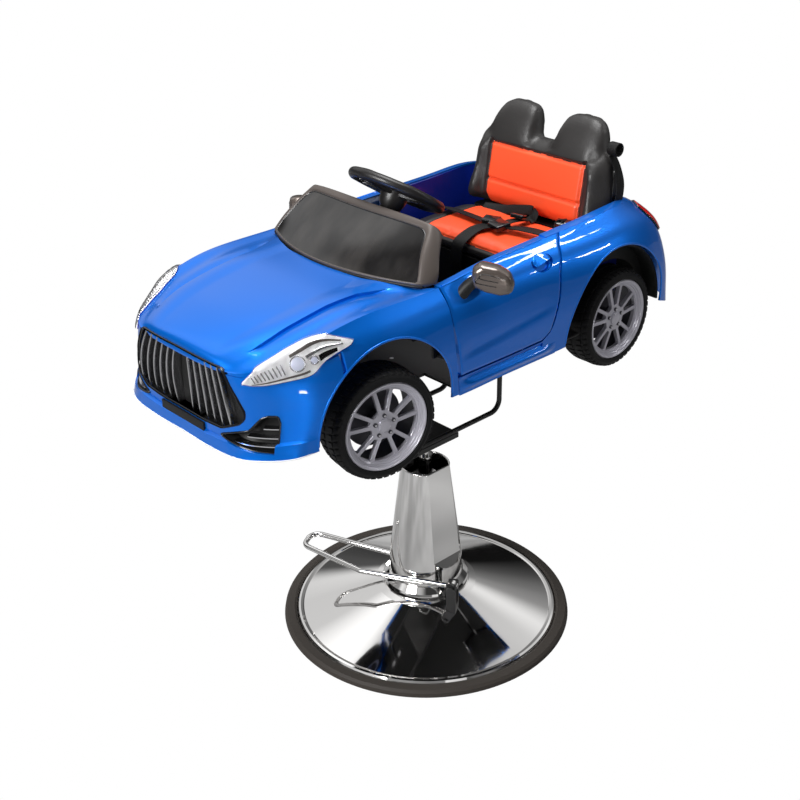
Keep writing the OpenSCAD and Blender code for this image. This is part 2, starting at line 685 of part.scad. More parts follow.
// A wheel, with its outer face at x = 0 and its axle along X; the tyre reaches back to -tyre_w
hub_bore = axle_r + run_fit;
lip_t = 4;
spoke_w = 9;
spoke_t = 10;
spokes = 10;
pair_split_share = 0.3;
cap_r = 15;
bead_in = 3;
side_in = 1.5;
module tyre_form() {
    bulge = tyre_r - rim_r;
    rotate([0, 90, 0]) rotate_extrude($fn = 96) polygon([
        [rim_r, bead_in - tyre_w], [rim_r + bulge * 0.3, -tyre_w], [tyre_r - bulge * 0.25, side_in - tyre_w],
        [tyre_r - bulge * 0.06, -tyre_w + bulge * 0.35], [tyre_r, -tyre_w + bulge * 0.8],
        [tyre_r, -bulge * 0.8], [tyre_r - bulge * 0.06, -bulge * 0.35], [tyre_r - bulge * 0.25, -side_in],
        [rim_r + bulge * 0.3, 0], [rim_r, -bead_in]]);
}
// The rim's barrel and lip, as distances in from its edge and back from the wheel's face
rim_back = 4;
barrel_pts = [[0, tyre_w - rim_back], [0, 4], [2.4, 1.5], [6.4, 4], [7.2, 9], [12, 12], [12, 20], [6, 24],
    [6, tyre_w - rim_back]];
hub_disc_r = 24;
hub_disc_back = 26;
face_back = 9;
nut_r = 3.2;
nut_ring_r = 18.5;
nut_h = 3;
spoke_foot_r = 20;
spoke_in = 8;
spoke_back = 1.2;
// The hub's bore ends here, and the cap's recess begins
bore_end = 11;
cap_seat = 12;
cap_rim = 3;
module rim_form() {
    r = rim_r - seat_gap;
    rotate([0, 90, 0]) rotate_extrude($fn = 96) polygon([for (p = barrel_pts) [r - p[0], -p[1]]]);
    // Ten spokes in five pairs
    for (i = [0:spokes - 1]) {
        off = (i % 2 == 0 ? -1 : 1) * (0.5 - pair_split_share) * 720 / spokes;
        rotate([floor(i / 2) * 720 / spokes + off, 0, 0])
            translate([-spoke_t - face_back - spoke_back, -spoke_w / 2, spoke_foot_r])
            cube([spoke_t, spoke_w, r - spoke_in - spoke_foot_r]);
    }
    difference() {
        rotate([0, 90, 0]) union() {
            translate([0, 0, -hub_disc_back]) cylinder(r = hub_disc_r, h = hub_disc_back - face_back);
            translate([0, 0, rim_back - tyre_w])
                cylinder(r = hub_r, h = tyre_w - rim_back - face_back - spoke_back);
            for (i = [0:4]) rotate([0, 0, i * 72 + 36]) translate([nut_ring_r, 0, -face_back - nut_h])
                cylinder(r = nut_r, h = 2 * nut_h, $fn = 24);
        }
        rotate([0, 90, 0]) translate([0, 0, -tyre_w - over])
            cylinder(r = hub_bore, h = tyre_w + over - bore_end);
        rotate([0, 90, 0]) translate([0, 0, -cap_seat])
            cylinder(r = cap_r - cap_rim + bolt_fit, h = 2 * cap_seat);
    }
}
module cap_form() {
    rotate([0, 90, 0]) translate([0, 0, seat_gap - cap_seat])
        cylinder(r = cap_r - cap_rim, h = cap_rim + over);
    rotate([0, 90, 0]) translate([0, 0, seat_gap + cap_rim - cap_seat])
        cylinder(r1 = cap_r, r2 = cap_r - cap_rim / 2, h = cap_rim);
}
module front_wheel(side) {
    translate([side * kingpin_x, -axle_front, axle_z]) rotate([0, 0, -rest_steer])
        translate([side * (track_front - kingpin_x), 0, 0]) mirror([side < 0 ? 1 : 0, 0, 0]) children();
}
module rear_wheel(side) {
    translate([side * track_rear, axle_rear, axle_z]) mirror([side < 0 ? 1 : 0, 0, 0]) children();
}
module tyre_front_left() { color(rubber_black) front_wheel(1) tyre_form(); }
module rim_front_left() { color(chrome) front_wheel(1) rim_form(); }
module cap_front_left() { color(chrome) front_wheel(1) cap_form(); }
module tyre_front_right() { color(rubber_black) front_wheel(-1) tyre_form(); }
module rim_front_right() { color(chrome) front_wheel(-1) rim_form(); }
module cap_front_right() { color(chrome) front_wheel(-1) cap_form(); }
module tyre_rear_left() { color(rubber_black) rear_wheel(1) tyre_form(); }
module rim_rear_left() { color(chrome) rear_wheel(1) rim_form(); }
module cap_rear_left() { color(chrome) rear_wheel(1) cap_form(); }
module tyre_rear_right() { color(rubber_black) rear_wheel(-1) tyre_form(); }
module rim_rear_right() { color(chrome) rear_wheel(-1) rim_form(); }
module cap_rear_right() { color(chrome) rear_wheel(-1) cap_form(); }

// Front shell: hood and fenders in one sheet, from sill to sill over the top
hood_rows = 30;
band_rows = 5;
hood_cols = 9;
ridge_h = 5;
valley_h = 7;
function hood_mid(k) =
    let (m = along(hood_shares, k)) [0, m[0] * body_l - nose, m[1] * body_h + sill_z];
// k runs from the nose to the windscreen, v from the middle to the fender's top edge
function hood_at(k, v) =
    let (c = mix(corner_col, hinge_col, k), m = hood_mid(k), e = side_top(c),
         fade = ease(0.08, 0.4, k), w = abs(v))
    [e.x * v, mix(m.y, e.y, pow(w, 3)),
     mix(m.z, e.z, pow(w, 2.2)) + fade * (ridge_h * hump(0.62, 0.16, w) - valley_h * hump(0.84, 0.14, w))];
function hood_dir(c, v) =
    let (w = ease(0.7, 1, abs(v)), n = inward(c)) unit([n.x * w * (v < 0 ? -1 : 1), n.y * w, -1 + 0.75 * w]);
function shell_row(k, depth) =
    let (c = mix(corner_col, hinge_col, k), low = seam_at(c) + seam_gap_share,
         band = [for (j = [0:band_rows - 1]) side_at(c, mix(low, 1, j / band_rows)) + depth * hood_dir(c, 1)],
         hood = [for (j = [0:hood_cols]) let (v = 1 - j / hood_cols) hood_at(k, v) + depth * hood_dir(c, v)],
         left = concat(band, hood), n = len(left))
    concat(left, [for (i = [n - 2:-1:0]) [-left[i].x, left[i].y, left[i].z]]);
module front_shell() {
    rows = [for (i = [0:hood_rows]) i / hood_rows];
    color(car_blue) difference() {
        skin([for (k = rows) shell_row(k, 0)], [for (k = rows) shell_row(k, wall)]);
        front_arch();
    }
}

// Bumper: round the nose from seam to seam, with the grille's and the intakes' openings
bumper_steps = 44;
bumper_rows = 7;
// The bumper ends just before the shell's full height begins
bumper_end = 5.3;
module front_bumper() {
    cols = [for (i = [0:bumper_steps]) mix(-bumper_end, bumper_end, i / bumper_steps)];
    function point(c, j, depth) =
        let (a = abs(c), p = side_in(a, seam_at(min(a, seam_col - 0.05)) * j / bumper_rows, depth))
        [p.x * (c < 0 ? -1 : 1), p.y, p.z];
    color(car_blue) difference() {
        skin([for (c = cols) [for (j = [0:bumper_rows]) point(c, j, 0)]],
             [for (c = cols) [for (j = [0:bumper_rows]) point(c, j, wall)]]);
        front_arch();
        grille_prism(0);
        both_sides() intake_prism(0);
    }
}
// The grille's outline, as shares of half width and height
grille_half_shares = [[0.44, 0.47], [0.5, 0.39], [0.55, 0.32], [0.59, 0.25], [0.59, 0.21], [0.555, 0.175],
    [0.41, 0.12], [0.2, 0.112]];
grille_shares = concat(grille_half_shares,
    [for (i = [len(grille_half_shares) - 1:-1:0]) [-grille_half_shares[i][0], grille_half_shares[i][1]]]);
grille_depth = 30;
module grille_prism(inset) {
    translate([0, -nose - over, 0]) rotate([90, 0, 180]) translate([0, 0, 0]) mirror([1, 0, 0])
        linear_extrude(height = grille_depth + over) offset(delta = -inset)
        polygon([for (s = grille_shares) [s[0] * body_hw, s[1] * body_h + sill_z]]);
}
// The intakes open at the nose's corners, below the headlights
intake_shares = [[0.39, 0.08], [0.53, 0.125], [0.62, 0.15], [0.68, 0.223], [0.71, 0.235], [0.755, 0.235],
    [0.768, 0.2], [0.778, 0.035], [0.68, 0.04], [0.57, 0.052], [0.46, 0.065]];
intake_depth = 52;
module intake_prism(inset) {
    translate([0, -nose - over, 0]) rotate([90, 0, 180]) mirror([1, 0, 0])
        linear_extrude(height = intake_depth + 2 * grille_depth) offset(delta = -inset)
        polygon([for (s = intake_shares) [s[0] * body_hw, s[1] * body_h + sill_z]]);
}
// The hood's lip covers the grille from above
lip_h = 0.425 * body_h;
grille_back = 9;
grille_t = 4;
module grille() {
    inset = grille_t / 4;
    color(trim_black) difference() {
        intersection() {
            grille_prism(inset);
            translate([-body_hw, grille_back - nose, sill_z - over])
                cube([2 * body_hw, grille_depth, lip_h]);
        }
        intersection() {
            grille_prism(inset + grille_t);
            translate([-body_hw, -nose - over, sill_z - over])
                cube([2 * body_hw, grille_depth - grille_t + over, lip_h - grille_t]);
        }
    }
}
slats = 11;
slat_t = 2.4;
slat_back = 12;
slat_depth = grille_depth - slat_back - grille_t;
module grille_slats() {
    pitch = 1.14 * body_hw / slats;
    color(chrome) intersection() {
        grille_prism(1.25 * grille_t + seat_gap);
        for (i = [0:slats - 1])
            translate([(i - (slats - 1) / 2) * pitch - slat_t / 2, slat_back - nose, sill_z])
            cube([slat_t, slat_depth - seat_gap, lip_h - grille_t - over - seat_gap]);
    }
}
plate_w = 118;
plate_h = 24;
plate_sink = 3;
module plate_blank() {
    y = side_mid(0).y - plate_sink - seat_gap;
    color(trim_black) translate([-plate_w / 2, y, sill_z + 0.02 * body_h])
        cube([plate_w, plate_sink, plate_h]);
}
module intakes() {
    color(trim_black) both_sides() difference() {
        intersection() {
            intake_prism(intake_gap);
            side_patch(1.2, 5.2, 12, 4, -0.02, 0.62, intake_lining + 2 * wall, -wall - 2 * intake_gap);
        }
        intersection() {
            intake_prism(intake_wall);
            side_patch(1.1, 5.3, 12, 4, -0.04, 0.64, intake_lining + wall, 0);
        }
    }
    color(trim_black) both_sides() intersection() {
        intake_prism(intake_wall - fin_t / 2);
        side_patch(1.2, 5.2, 12, 1, 0, 0.6, intake_lining + wall + fin_t / 2, -wall - 1.5 * fin_t);
        for (i = [1:3]) translate([0, -nose - over, sill_z + (0.02 + 0.065 * i) * body_h])
            cube([body_hw, far, fin_t]);
    }
}
intake_lining = 14;
intake_gap = 0.5;
intake_wall = 4;
fin_t = 2;

// Headlights lie on the shell's shoulder, from the grille's corner to the arch
module headlight() {
    lens_rows = 5;
    lens_steps = 14;
    // Upper and lower edge of the lens, as height shares over its length
    upper_shares = [0.93, 0.98, 0.99, 0.98, 0.9];
    lower_shares = [0.9, 0.79, 0.74, 0.76, 0.82];
    c0 = 2.7;
    c1 = 5.43;
    lens_t = 4;
    grid = [for (d = [-lens_t, -seat_gap])
        [for (i = [0:lens_steps]) let (k = i / lens_steps, c = mix(c0, c1, k),
            lo = along(lower_shares, k), hi = along(upper_shares, k))
            [for (j = [0:lens_rows]) side_at(c, mix(lo, hi, j / lens_rows)) + d * hood_dir(c, 1)]]];
    skin(grid[0], grid[1]);
}
module headlights() { color("white") both_sides() headlight(); }

// Doors, between the hinge and latch columns, cut to their outline seen from the side
door_shares = [[0.381, 0.8], [0.382, 0.56], [0.384, 0.43], [0.397, 0.124], [0.597, 0.124], [0.62, 0.17],
    [0.638, 0.35], [0.649, 0.507], [0.667, 0.64], [0.681, 0.683], [0.7, 0.8]];
module door_prism(grow) {
    rotate([90, 0, 90]) linear_extrude(height = 2 * body_hw) offset(delta = grow)
        polygon([for (s = door_shares) [s[0] * body_l - nose, s[1] * body_h + sill_z]]);
}
// The hinge pin stands in the door's thickness; its arms come from the dashboard's side
hinge_in = 14;
hinge_x = body_hw - hinge_in;
hinge_y = 0.416667 * body_l - nose;
hinge_pin_r = 2.5;
hinge_zs = [0.19 * body_h + sill_z, 0.36 * body_h + sill_z];
barrel_h = 14;
hinge_arm_t = 5;
hinge_arm_w = 8;
// The door's rear edge is round the hinge, so that it clears the rear shell as it opens
door_reach = 0.267157 * body_l;
slot_reach = 6 * hinge_arm_w;
arm_turn = 195;
arm_short = 2;
hinge_foot_t = 5;
hinge_foot_w = 24;
hinge_foot_back = 26;
hinge_foot_up = 20;
hinge_lift = hinge_arm_t + seat_gap;
module door() {
    difference() {
        intersection() {
            side_patch(6.75, 9.6, 18, 8, 0.02, 0.995, door_t);
            door_prism(-shut_gap / 2);
            translate([hinge_x, hinge_y, sill_z - over]) cylinder(r = door_reach, h = 2 * body_h, $fn = 256);
        }
        for (z = hinge_zs) {
            translate([hinge_x, hinge_y, z - barrel_h]) cylinder(r = hinge_pin_r + run_fit, h = 3 * barrel_h);
            // Slots for the hinge's arms, open to the front and the inside
            for (dz = [-hinge_arm_t - 2 * seat_gap, barrel_h])
                translate([hinge_x - slot_reach, hinge_y - slot_reach, z + dz])
                    cube([slot_reach + hinge_arm_w / 2 + seat_gap, slot_reach + hinge_arm_w,
                        hinge_arm_t + 2 * seat_gap]);
        }
    }
}
module door_left() { color(car_blue) door(); }
module door_right() { color(car_blue) mirror([1, 0, 0]) door(); }
module door_hinges() {
    color(steel_black) both_sides() {
        for (z = hinge_zs) {
            translate([hinge_x, hinge_y, z - hinge_arm_t])
                cylinder(r = hinge_pin_r, h = barrel_h + 2 * hinge_arm_t);
            for (dz = [-hinge_lift, barrel_h + seat_gap]) translate([hinge_x, hinge_y, z + dz]) {
                cylinder(r = hinge_arm_w / 2, h = hinge_arm_t);
                rotate([0, 0, arm_turn]) translate([0, -hinge_arm_w / 2, 0])
                    cube([hinge_x - dash_hw - arm_short, hinge_arm_w, hinge_arm_t]);
            }
        }
        // Foot on the dashboard's side
        translate([dash_hw, hinge_y - hinge_foot_back, hinge_zs[0] - hinge_lift])
            cube([hinge_foot_t, hinge_foot_w,
                hinge_zs[1] + barrel_h + 2 * hinge_lift - hinge_zs[0] + hinge_foot_up]);
    }
}

// Side skirts below the doors
module side_skirt() {
    difference() {
        side_patch(7.02, 8.93, 16, 3, 0, 0.26, door_t);
        door_prism(shut_gap / 2);
        front_arch();
        rear_arch();
    }
}
module side_skirts() { color(car_blue) both_sides() side_skirt(); }

// Rear shell: quarters, tail and rear deck
deck_front = 372;
rim_w = 16;
module rear_shell() {
    steps = 22;
    rows = 8;
    half = [for (i = [0:steps]) mix(latch_col - 0.05, columns, i / steps)];
    cols = concat(half, [for (i = [steps - 1:-1:0]) -half[i]]);
    function point(c, j, depth) =
        let (p = side_in(abs(c), j / rows, depth)) [p.x * (c < 0 ? -1 : 1), p.y, p.z];
    deck_steps = 16;
    function deck_row(i, dz) =
        let (c = mix(latch_col, columns - 0.9, i / deck_steps), e = side_top(c),
             x0 = e.y < deck_front ? e.x - rim_w : -1)
        [for (j = [0:6]) let (x = mix(e.x - wall / 2, x0, j / 6)) [x, e.y, e.z - dz + 0.02 * (e.x - x)]];
    color(car_blue) difference() {
        union() {
            skin([for (c = cols) [for (j = [0:rows]) point(c, j, 0)]],
                 [for (c = cols) [for (j = [0:rows]) point(c, j, wall)]]);
            both_sides() skin([for (i = [0:deck_steps]) deck_row(i, 0)],
                [for (i = [0:deck_steps]) deck_row(i, wall)]);
        }
        rear_arch();
        both_sides() door_prism(shut_gap / 2);
    }
}
// Tail lights wrap the rear corners
module tail_lights() {
    c0 = 11.55;
    c1 = 13.4;
    steps = 12;
    rows = 4;
    hi = 0.97;
    lo_shares = [0.9, 0.8, 0.76, 0.76, 0.8];
    light_t = 5;
    light_gap = 1;
    color("red") both_sides() skin(
        [for (i = [0:steps]) let (c = mix(c0, c1, i / steps)) [for (j = [0:rows])
            side_in(c, mix(along(lo_shares, i / steps), hi, j / rows), -light_t)]],
        [for (i = [0:steps]) let (c = mix(c0, c1, i / steps)) [for (j = [0:rows])
            side_in(c, mix(along(lo_shares, i / steps), hi, j / rows), -light_gap)]]);
}

// Windscreen: p runs across from -1 to 1, q from foot to top
screen_foot_y = 0.303922 * body_l - nose;
screen_foot_z = 0.670333 * body_h + sill_z;
screen_foot_bow = 54;
screen_back = 112;
screen_rise = 81.9;
screen_top_y = screen_foot_y + screen_back;
screen_top_z = screen_foot_z + screen_rise;
screen_top_bow = 8;
screen_bulge = 6;
screen_foot_drop = 3;
screen_top_drop = 6;
panel_t = 3;
function screen_at(p, q) =
    [p * mix(screen_foot_hw, screen_top_hw, q) * (1 - 0.02 * pow(2 * q - 1, 4)),
     mix(screen_foot_y + screen_foot_bow * p * p, screen_top_y + screen_top_bow * p * p, q)
         - screen_bulge * hump(0.5, 0.5, q),
     mix(screen_foot_z - screen_foot_drop * p * p, screen_top_z - screen_top_drop * pow(p, 4), q)];
screen_dir = unit([0, screen_top_z - screen_foot_z, screen_foot_y - screen_top_y]);
module screen_patch(p1, q0, q1, front, back, cols = 16, rows = 6) {
    mid = [for (j = [0:rows]) [for (i = [0:cols])
        screen_at(mix(-p1, p1, i / cols), mix(q0, q1, j / rows))]];
    skin([for (row = mid) [for (p = row) p + back * screen_dir]],
         [for (row = mid) [for (p = row) p - front * screen_dir]]);
}
module windscreen_frame() {
    color(trim_black) difference() {
        screen_patch(1, 0, 1, screen_t / 2, screen_t / 2);
        screen_patch(0.89, 0.1, 0.86, screen_t, screen_t);
    }
}
module windscreen_panel() {
    color("dimgray", 0.6) screen_patch(0.885, 0.105, 0.855, panel_t / 2, panel_t / 2);
}
dash_hw = 0.72 * body_hw;
// The dashboard's outline from the side, from the windscreen's foot
dash_pts = [[9, -17.1], [95, -17.1], [127, -37.1], [127, -73.1], [113, -97.1], [85, -107.1], [45, -107.1],
    [23, -59.1]];
column_foot = [60, 50, 76];
column_foot_back = 17;
column_rise = 50;
module dashboard() {
    color(trim_black) difference() {
        translate([-dash_hw, 0, 0]) rotate([90, 0, 90]) linear_extrude(height = 2 * dash_hw)
            polygon([for (p = dash_pts) [screen_foot_y + p[0], screen_foot_z + p[1]]]);
        on_column(-column_len - column_rise - hub_t)
            cylinder(r = column_r + seat_gap, h = column_len + column_rise + hub_t);
    }
}
wheel_back = 180;
wheel_rise = 86.9;
wheel_mid = [0, screen_foot_y + wheel_back, screen_foot_z + wheel_rise];
hub_t = 26;
hub_w = 24;
neck_t = 44;
spoke_h = 7;
horn_r = 17;
horn_top_r = 14;
horn_seat = 6;
horn_h = 6;
horn_dome = 1.5;
column_len = 200;
column_r = 13;
shaft_r = 6;
shaft_len = 262;
shaft_in = 16;
shaft_end = 4;
module on_column(d) {
    translate(wheel_mid) rotate([-wheel_tilt, 0, 0]) translate([0, 0, d]) children();
}
module steering_column() {
    color(trim_black) difference() {
        union() {
            on_column(-column_len - column_rise) cylinder(r = column_r, h = column_len);
            translate([-column_foot.x / 2, screen_foot_y + column_foot_back, floor_z + floor_t])
                cube(column_foot);
        }
        on_column(-shaft_len - column_rise) cylinder(r = shaft_r + run_fit, h = shaft_len + column_rise);
    }
}
module steering_shaft() {
    color(chrome) on_column(-shaft_len - shaft_in - shaft_end)
        cylinder(r = shaft_r, h = shaft_len + shaft_end);
}
module steering_wheel() {
    hub = hub_w;
    color(rubber_black) difference() {
        on_column(0) {
            rotate_extrude($fn = 96) translate([wheel_ring_r, 0]) circle(r = wheel_tube_r, $fn = 32);
            for (a = [0, 180, 270]) rotate([0, 0, a]) translate([hub * 5 / 6, -hub / 2, -hub / 2])
                rotate([0, -spoke_h, 0]) cube([wheel_ring_r - hub * 5 / 6, hub, spoke_h]);
            translate([0, 0, -hub_t]) cylinder(r = hub, h = hub_t);
            translate([0, 0, -neck_t]) cylinder(r = hub * 0.7, h = neck_t - hub);
        }
        on_column(-neck_t - shaft_in) cylinder(r = shaft_r + bolt_fit, h = neck_t + seat_gap);
        on_column(-horn_seat) cylinder(r = horn_r + run_fit, h = hub);
    }
}
horn_travel = 2;
module horn_button() {
    color(chrome) on_column(horn_travel + intake_gap - horn_seat) {
        cylinder(r = horn_r, h = horn_h);
        cylinder(r1 = horn_r, r2 = horn_top_r, h = horn_h + horn_dome);
    }
}

// Seat
back_lean = 0.17;
back_foot_z = 792;
back_y = 296;
back_t = 50;
back_top_lean = 14;
seat_rear = 300;
shell_hw = 148;
base_front = 107;
base_t = 34;
shell_top = seat_z - base_t - seat_gap;
// The shell's outline from the side: front and top under the base, the step at the back's
// foot, the upper edge behind the back, and the rear
shell_lean = 10;
shell_edge_z = 900;
shell_pts = [[base_front + shell_lean, floor_z + floor_t], [base_front + 4, shell_top],
    [seat_rear - shell_lean, shell_top], [seat_rear - shell_lean, back_foot_z - 1],
    [back_y + back_t - shell_lean, back_foot_z - 1], [back_y + back_t + shell_lean, shell_edge_z],
    [back_y + back_t + 2.6 * shell_lean, shell_edge_z], [back_y + back_t + 28.2, 800],
    [back_y + back_t - 6, floor_z + floor_t]];
module seat_shell() {
    color(trim_black) translate([-shell_hw, 0, 0]) rotate([90, 0, 90]) linear_extrude(height = 2 * shell_hw)
        polygon([for (p = shell_pts) p]);
}
// The back's top edge: two headrests with a notch between them, over the half width
top_steps = [0, 0.12, 0.17, 0.22, 0.27, 0.34, 0.48, 0.66, 0.77, 0.84, 0.89, 0.94, 1];
top_heights = [0.7, 0.7, 0.77, 0.9, 0.97, 1, 1.01, 1, 0.95, 0.86, 0.72, 0.6, 0.42];
seam_w = 0.68;
function edge_share(h) = h < 0.75 ? 0.74 - 0.4 * (0.7 - h) : 0.74 + 0.26 * (h - 0.7) / 0.31;
edge_table = [for (i = [0:len(top_steps) - 1]) [top_steps[i], edge_share(top_heights[i])]];
function back_edge_z(p) = back_foot_z + (headrest_z - back_foot_z) * lookup(abs(p), edge_table);
// Heights between which the back leans, narrows and loses its side wings
lean_z = 850;
top_lean_z = [920, 1010];
narrow_z = [860, 960];
wing_z = [900, 950];
wing_out = 22;
seam_depth = 3.5;
cross_seam_depth = 2.5;
cross_seam_z = [849, 922];
cross_seam_w = 7;
function back_soft(p, q) = (1 - pow(abs(p), 8)) * (1 - pow(abs(2 * q - 1), 10));
function back_at(p, q, front) =
    let (z = mix(back_foot_z, back_edge_z(p), q), w = abs(p),
         y = back_y + back_lean * (z - lean_z) + back_top_lean * ease(top_lean_z[0], top_lean_z[1], z),
         wing = wing_out * ease(0.7, 0.9, w) * (1 - ease(wing_z[0], wing_z[1], z)),
         panel = w < seam_w ? 1 : 0,
         cross = hump(cross_seam_z[0], cross_seam_w, z) + hump(cross_seam_z[1], cross_seam_w, z),
         seam = seam_depth * hump(seam_w, 0.05, w) + cross_seam_depth * panel * cross)
    [p * seat_hw * (1 - 0.06 * ease(narrow_z[0], narrow_z[1], z)),
     front ? y + back_t * 0.35 * (1 - back_soft(p, q)) - wing * back_soft(p, q) + seam
           : y + back_t * (0.7 + 0.3 * back_soft(p, q)), z];
back_cols = 38;
module seat_back() {
    rows = 13;
    ps = [for (i = [0:back_cols]) 2 * i / back_cols - 1];
    color(leather_black) skin([for (p = ps) [for (j = [0:rows]) back_at(p, j / rows, true)]],
        [for (p = ps) [for (j = [0:rows]) back_at(p, j / rows, false)]]);
}
base_seam = 0.72;
base_crown = 5;
base_side_in = 2;
back_gap = 12;
base_rear = seat_rear - back_gap;
function base_at(p, q, top) =
    let (y = mix(base_front, base_rear, q), w = abs(p),
         soft = (1 - pow(w, 8)) * (1 - pow(abs(2 * q - 1), 8)),
         crown = base_crown * (1 - w * w), seam = seam_depth * hump(base_seam, 0.06, w),
         top_z = seat_z - base_t * 0.4 * (1 - soft) + (crown - seam) * soft)
    [p * (seat_hw - base_side_in), y, top ? top_z : seat_z - base_t];
module seat_base() {
    rows = 11;
    cols = 26;
    color(leather_red) skin(
        [for (i = [0:cols]) [for (j = [0:rows]) base_at(2 * i / cols - 1, j / rows, true)]],
        [for (i = [0:cols]) [for (j = [0:rows]) base_at(2 * i / cols - 1, j / rows, false)]]);
}
// Harness: webbing laid on the cushions, p and q along them, and the buckle on the seat
web_w = 26;
web_t = 2;
// How far the webbing stands off the back and the base
web_off_back = 2;
web_off_base = 1.5;
web_join = 0.1;
module web_across_back(p0, p1, q, steps) {
    hq = web_w / 2 / (headrest_z - back_foot_z);
    skin([for (j = [0:steps]) [for (k = [-1, 1])
             back_at(mix(p0, p1, j / steps), q + k * hq, true) - [0, web_off_back + web_t, 0]]],
         [for (j = [0:steps]) [for (k = [-1, 1])
             back_at(mix(p0, p1, j / steps), q + k * hq, true) - [0, web_off_back, 0]]]);
}
module web_on_base(p0, p1, q, steps) {
    hq = web_w / 2 / (seat_rear - base_front);
    skin([for (k = [-1, 1]) [for (j = [0:steps])
             base_at(mix(p1, p0, j / steps), q + k * hq, true) + [0, 0, web_off_base + web_t]]],
         [for (k = [-1, 1]) [for (j = [0:steps])
             base_at(mix(p1, p0, j / steps), q + k * hq, true) + [0, 0, web_off_base]]]);
}
buckle_l = 52;
buckle_w = 44;
buckle_t = 13;
// Where the lap strap crosses the base, from its front to its rear
lap_share = 0.55;
module harness() {
    color(leather_black) {
        web_on_base(-0.85, 0.85, lap_share, 24);
        web_across_back(-0.62, 0.55, 0.19, 16);
    }
}
module buckle() {
    z = seat_z + base_crown + web_off_base + web_t + seat_gap;
    color(trim_black) translate([-buckle_w / 2, mix(base_front, base_rear, lap_share) - buckle_l / 2, z])
        cube([buckle_w, buckle_l, buckle_t]);
}

// Mirrors, on the doors' top front corners; the head's points and radii are from the foot
mirror_foot = place([0.856, 0.438235, 0.633333]);
mirror_pad_r = 10;
mirror_pad_t = 8;
mirror_neck = [34, -4, 4];
mirror_neck_r = 7;
mirror_reach = 60;
mirror_head = [[[35, 2, 22], 15], [[71, 18, 18], 15], [[66, 28, 4], 13], [[32, 0, 4], 9]];
module mirror_form() {
    difference() {
        hull() {
            translate(mirror_foot) rotate([0, 60, 0]) scale([1, 1.5, 1])
                cylinder(r = mirror_pad_r, h = mirror_pad_t, $fn = 20);
            translate(mirror_foot + mirror_neck) sphere(r = mirror_neck_r, $fn = 14);
        }
        side_patch(6.75, 9.6, 18, 8, 0.02, 0.995, mirror_reach, seat_gap);
    }
    hull() for (p = mirror_head) translate(mirror_foot + p[0]) scale([0.6, 1, 1]) sphere(r = p[1], $fn = 20);
}
module mirror_left() { color(trim_black) mirror_form(); }
module mirror_right() { color(trim_black) mirror([1, 0, 0]) mirror_form(); }

base_plate();
rubber_ring();
base_dome();
pump_collar();
pump_cylinder();
pump_cover();
guide_bush();
pedal_pivot();
foot_pedal();
piston_rod();
seat_plate();
cradle_left();
cradle_right();
cradle_bolts();
chassis();
front_beam();
rear_axle();
front_shell();
rear_shell();
side_skirts();
front_bumper();
grille();
grille_slats();
plate_blank();
intakes();
headlights();
tail_lights();
windscreen_frame();
windscreen_panel();
dashboard();
steering_column();
seat_shell();
seat_back();
seat_base();
harness();
buckle();
door_hinges();
steering_wheel();
steering_shaft();
horn_button();
knuckle_left();
knuckle_right();
tie_rod();
tyre_front_left();
rim_front_left();
cap_front_left();
tyre_front_right();
rim_front_right();
cap_front_right();
tyre_rear_left();
rim_rear_left();
cap_rear_left();
tyre_rear_right();
rim_rear_right();
cap_rear_right();
door_left();
door_right();
mirror_left();
mirror_right();
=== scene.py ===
import math
import bmesh
import bpy
import numpy as np
from mathutils import Matrix, Vector


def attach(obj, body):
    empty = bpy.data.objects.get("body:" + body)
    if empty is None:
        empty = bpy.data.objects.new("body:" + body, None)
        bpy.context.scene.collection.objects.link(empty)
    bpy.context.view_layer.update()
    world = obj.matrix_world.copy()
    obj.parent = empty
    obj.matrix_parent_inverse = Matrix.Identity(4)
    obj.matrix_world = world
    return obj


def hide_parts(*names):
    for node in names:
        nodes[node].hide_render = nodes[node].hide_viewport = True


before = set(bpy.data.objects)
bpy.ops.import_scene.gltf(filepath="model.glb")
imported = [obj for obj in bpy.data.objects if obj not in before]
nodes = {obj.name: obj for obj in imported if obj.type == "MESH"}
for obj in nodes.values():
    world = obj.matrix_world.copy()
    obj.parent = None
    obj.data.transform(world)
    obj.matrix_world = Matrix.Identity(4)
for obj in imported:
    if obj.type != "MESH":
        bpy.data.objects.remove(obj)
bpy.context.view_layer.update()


# Small helpers: curves through points, meshes, cuts

def unit(v):
    v = np.asarray(v, float)
    return v / np.linalg.norm(v, axis=-1, keepdims=True)


def mix(a, b, t):
    return a + (b - a) * t


def ease(a, b, t):
    s = np.clip((t - a) / (b - a), 0, 1)
    return s * s * (3 - 2 * s)


def hump(centre, width, t):
    s = np.minimum(np.abs(t - centre) / width, 1)
    return (1 - s * s) ** 2


def bend(a, b, c, d, t):
    return 0.5 * (2 * b + (c - a) * t + (2 * a - 5 * b + 4 * c - d) * t * t
                  + (3 * b - a - 3 * c + d) * t ** 3)


# A smooth curve through points, u from 0 to 1; one value or an array
def along(points, u):
    points = np.asarray(points, float)
    if points.ndim == 1:
        points = points[:, None]
    last = len(points) - 1
    s = np.clip(np.asarray(u, float) * last, 0, last)
    i = np.minimum(s.astype(int), last - 1)
    t = (s - i)[..., None]
    ext = np.vstack([2 * points[0] - points[1], points, 2 * points[last] - points[last - 1]])
    out = bend(ext[i], ext[i + 1], ext[i + 2], ext[i + 3], t)
    return out[..., 0] if out.shape[-1] == 1 else out


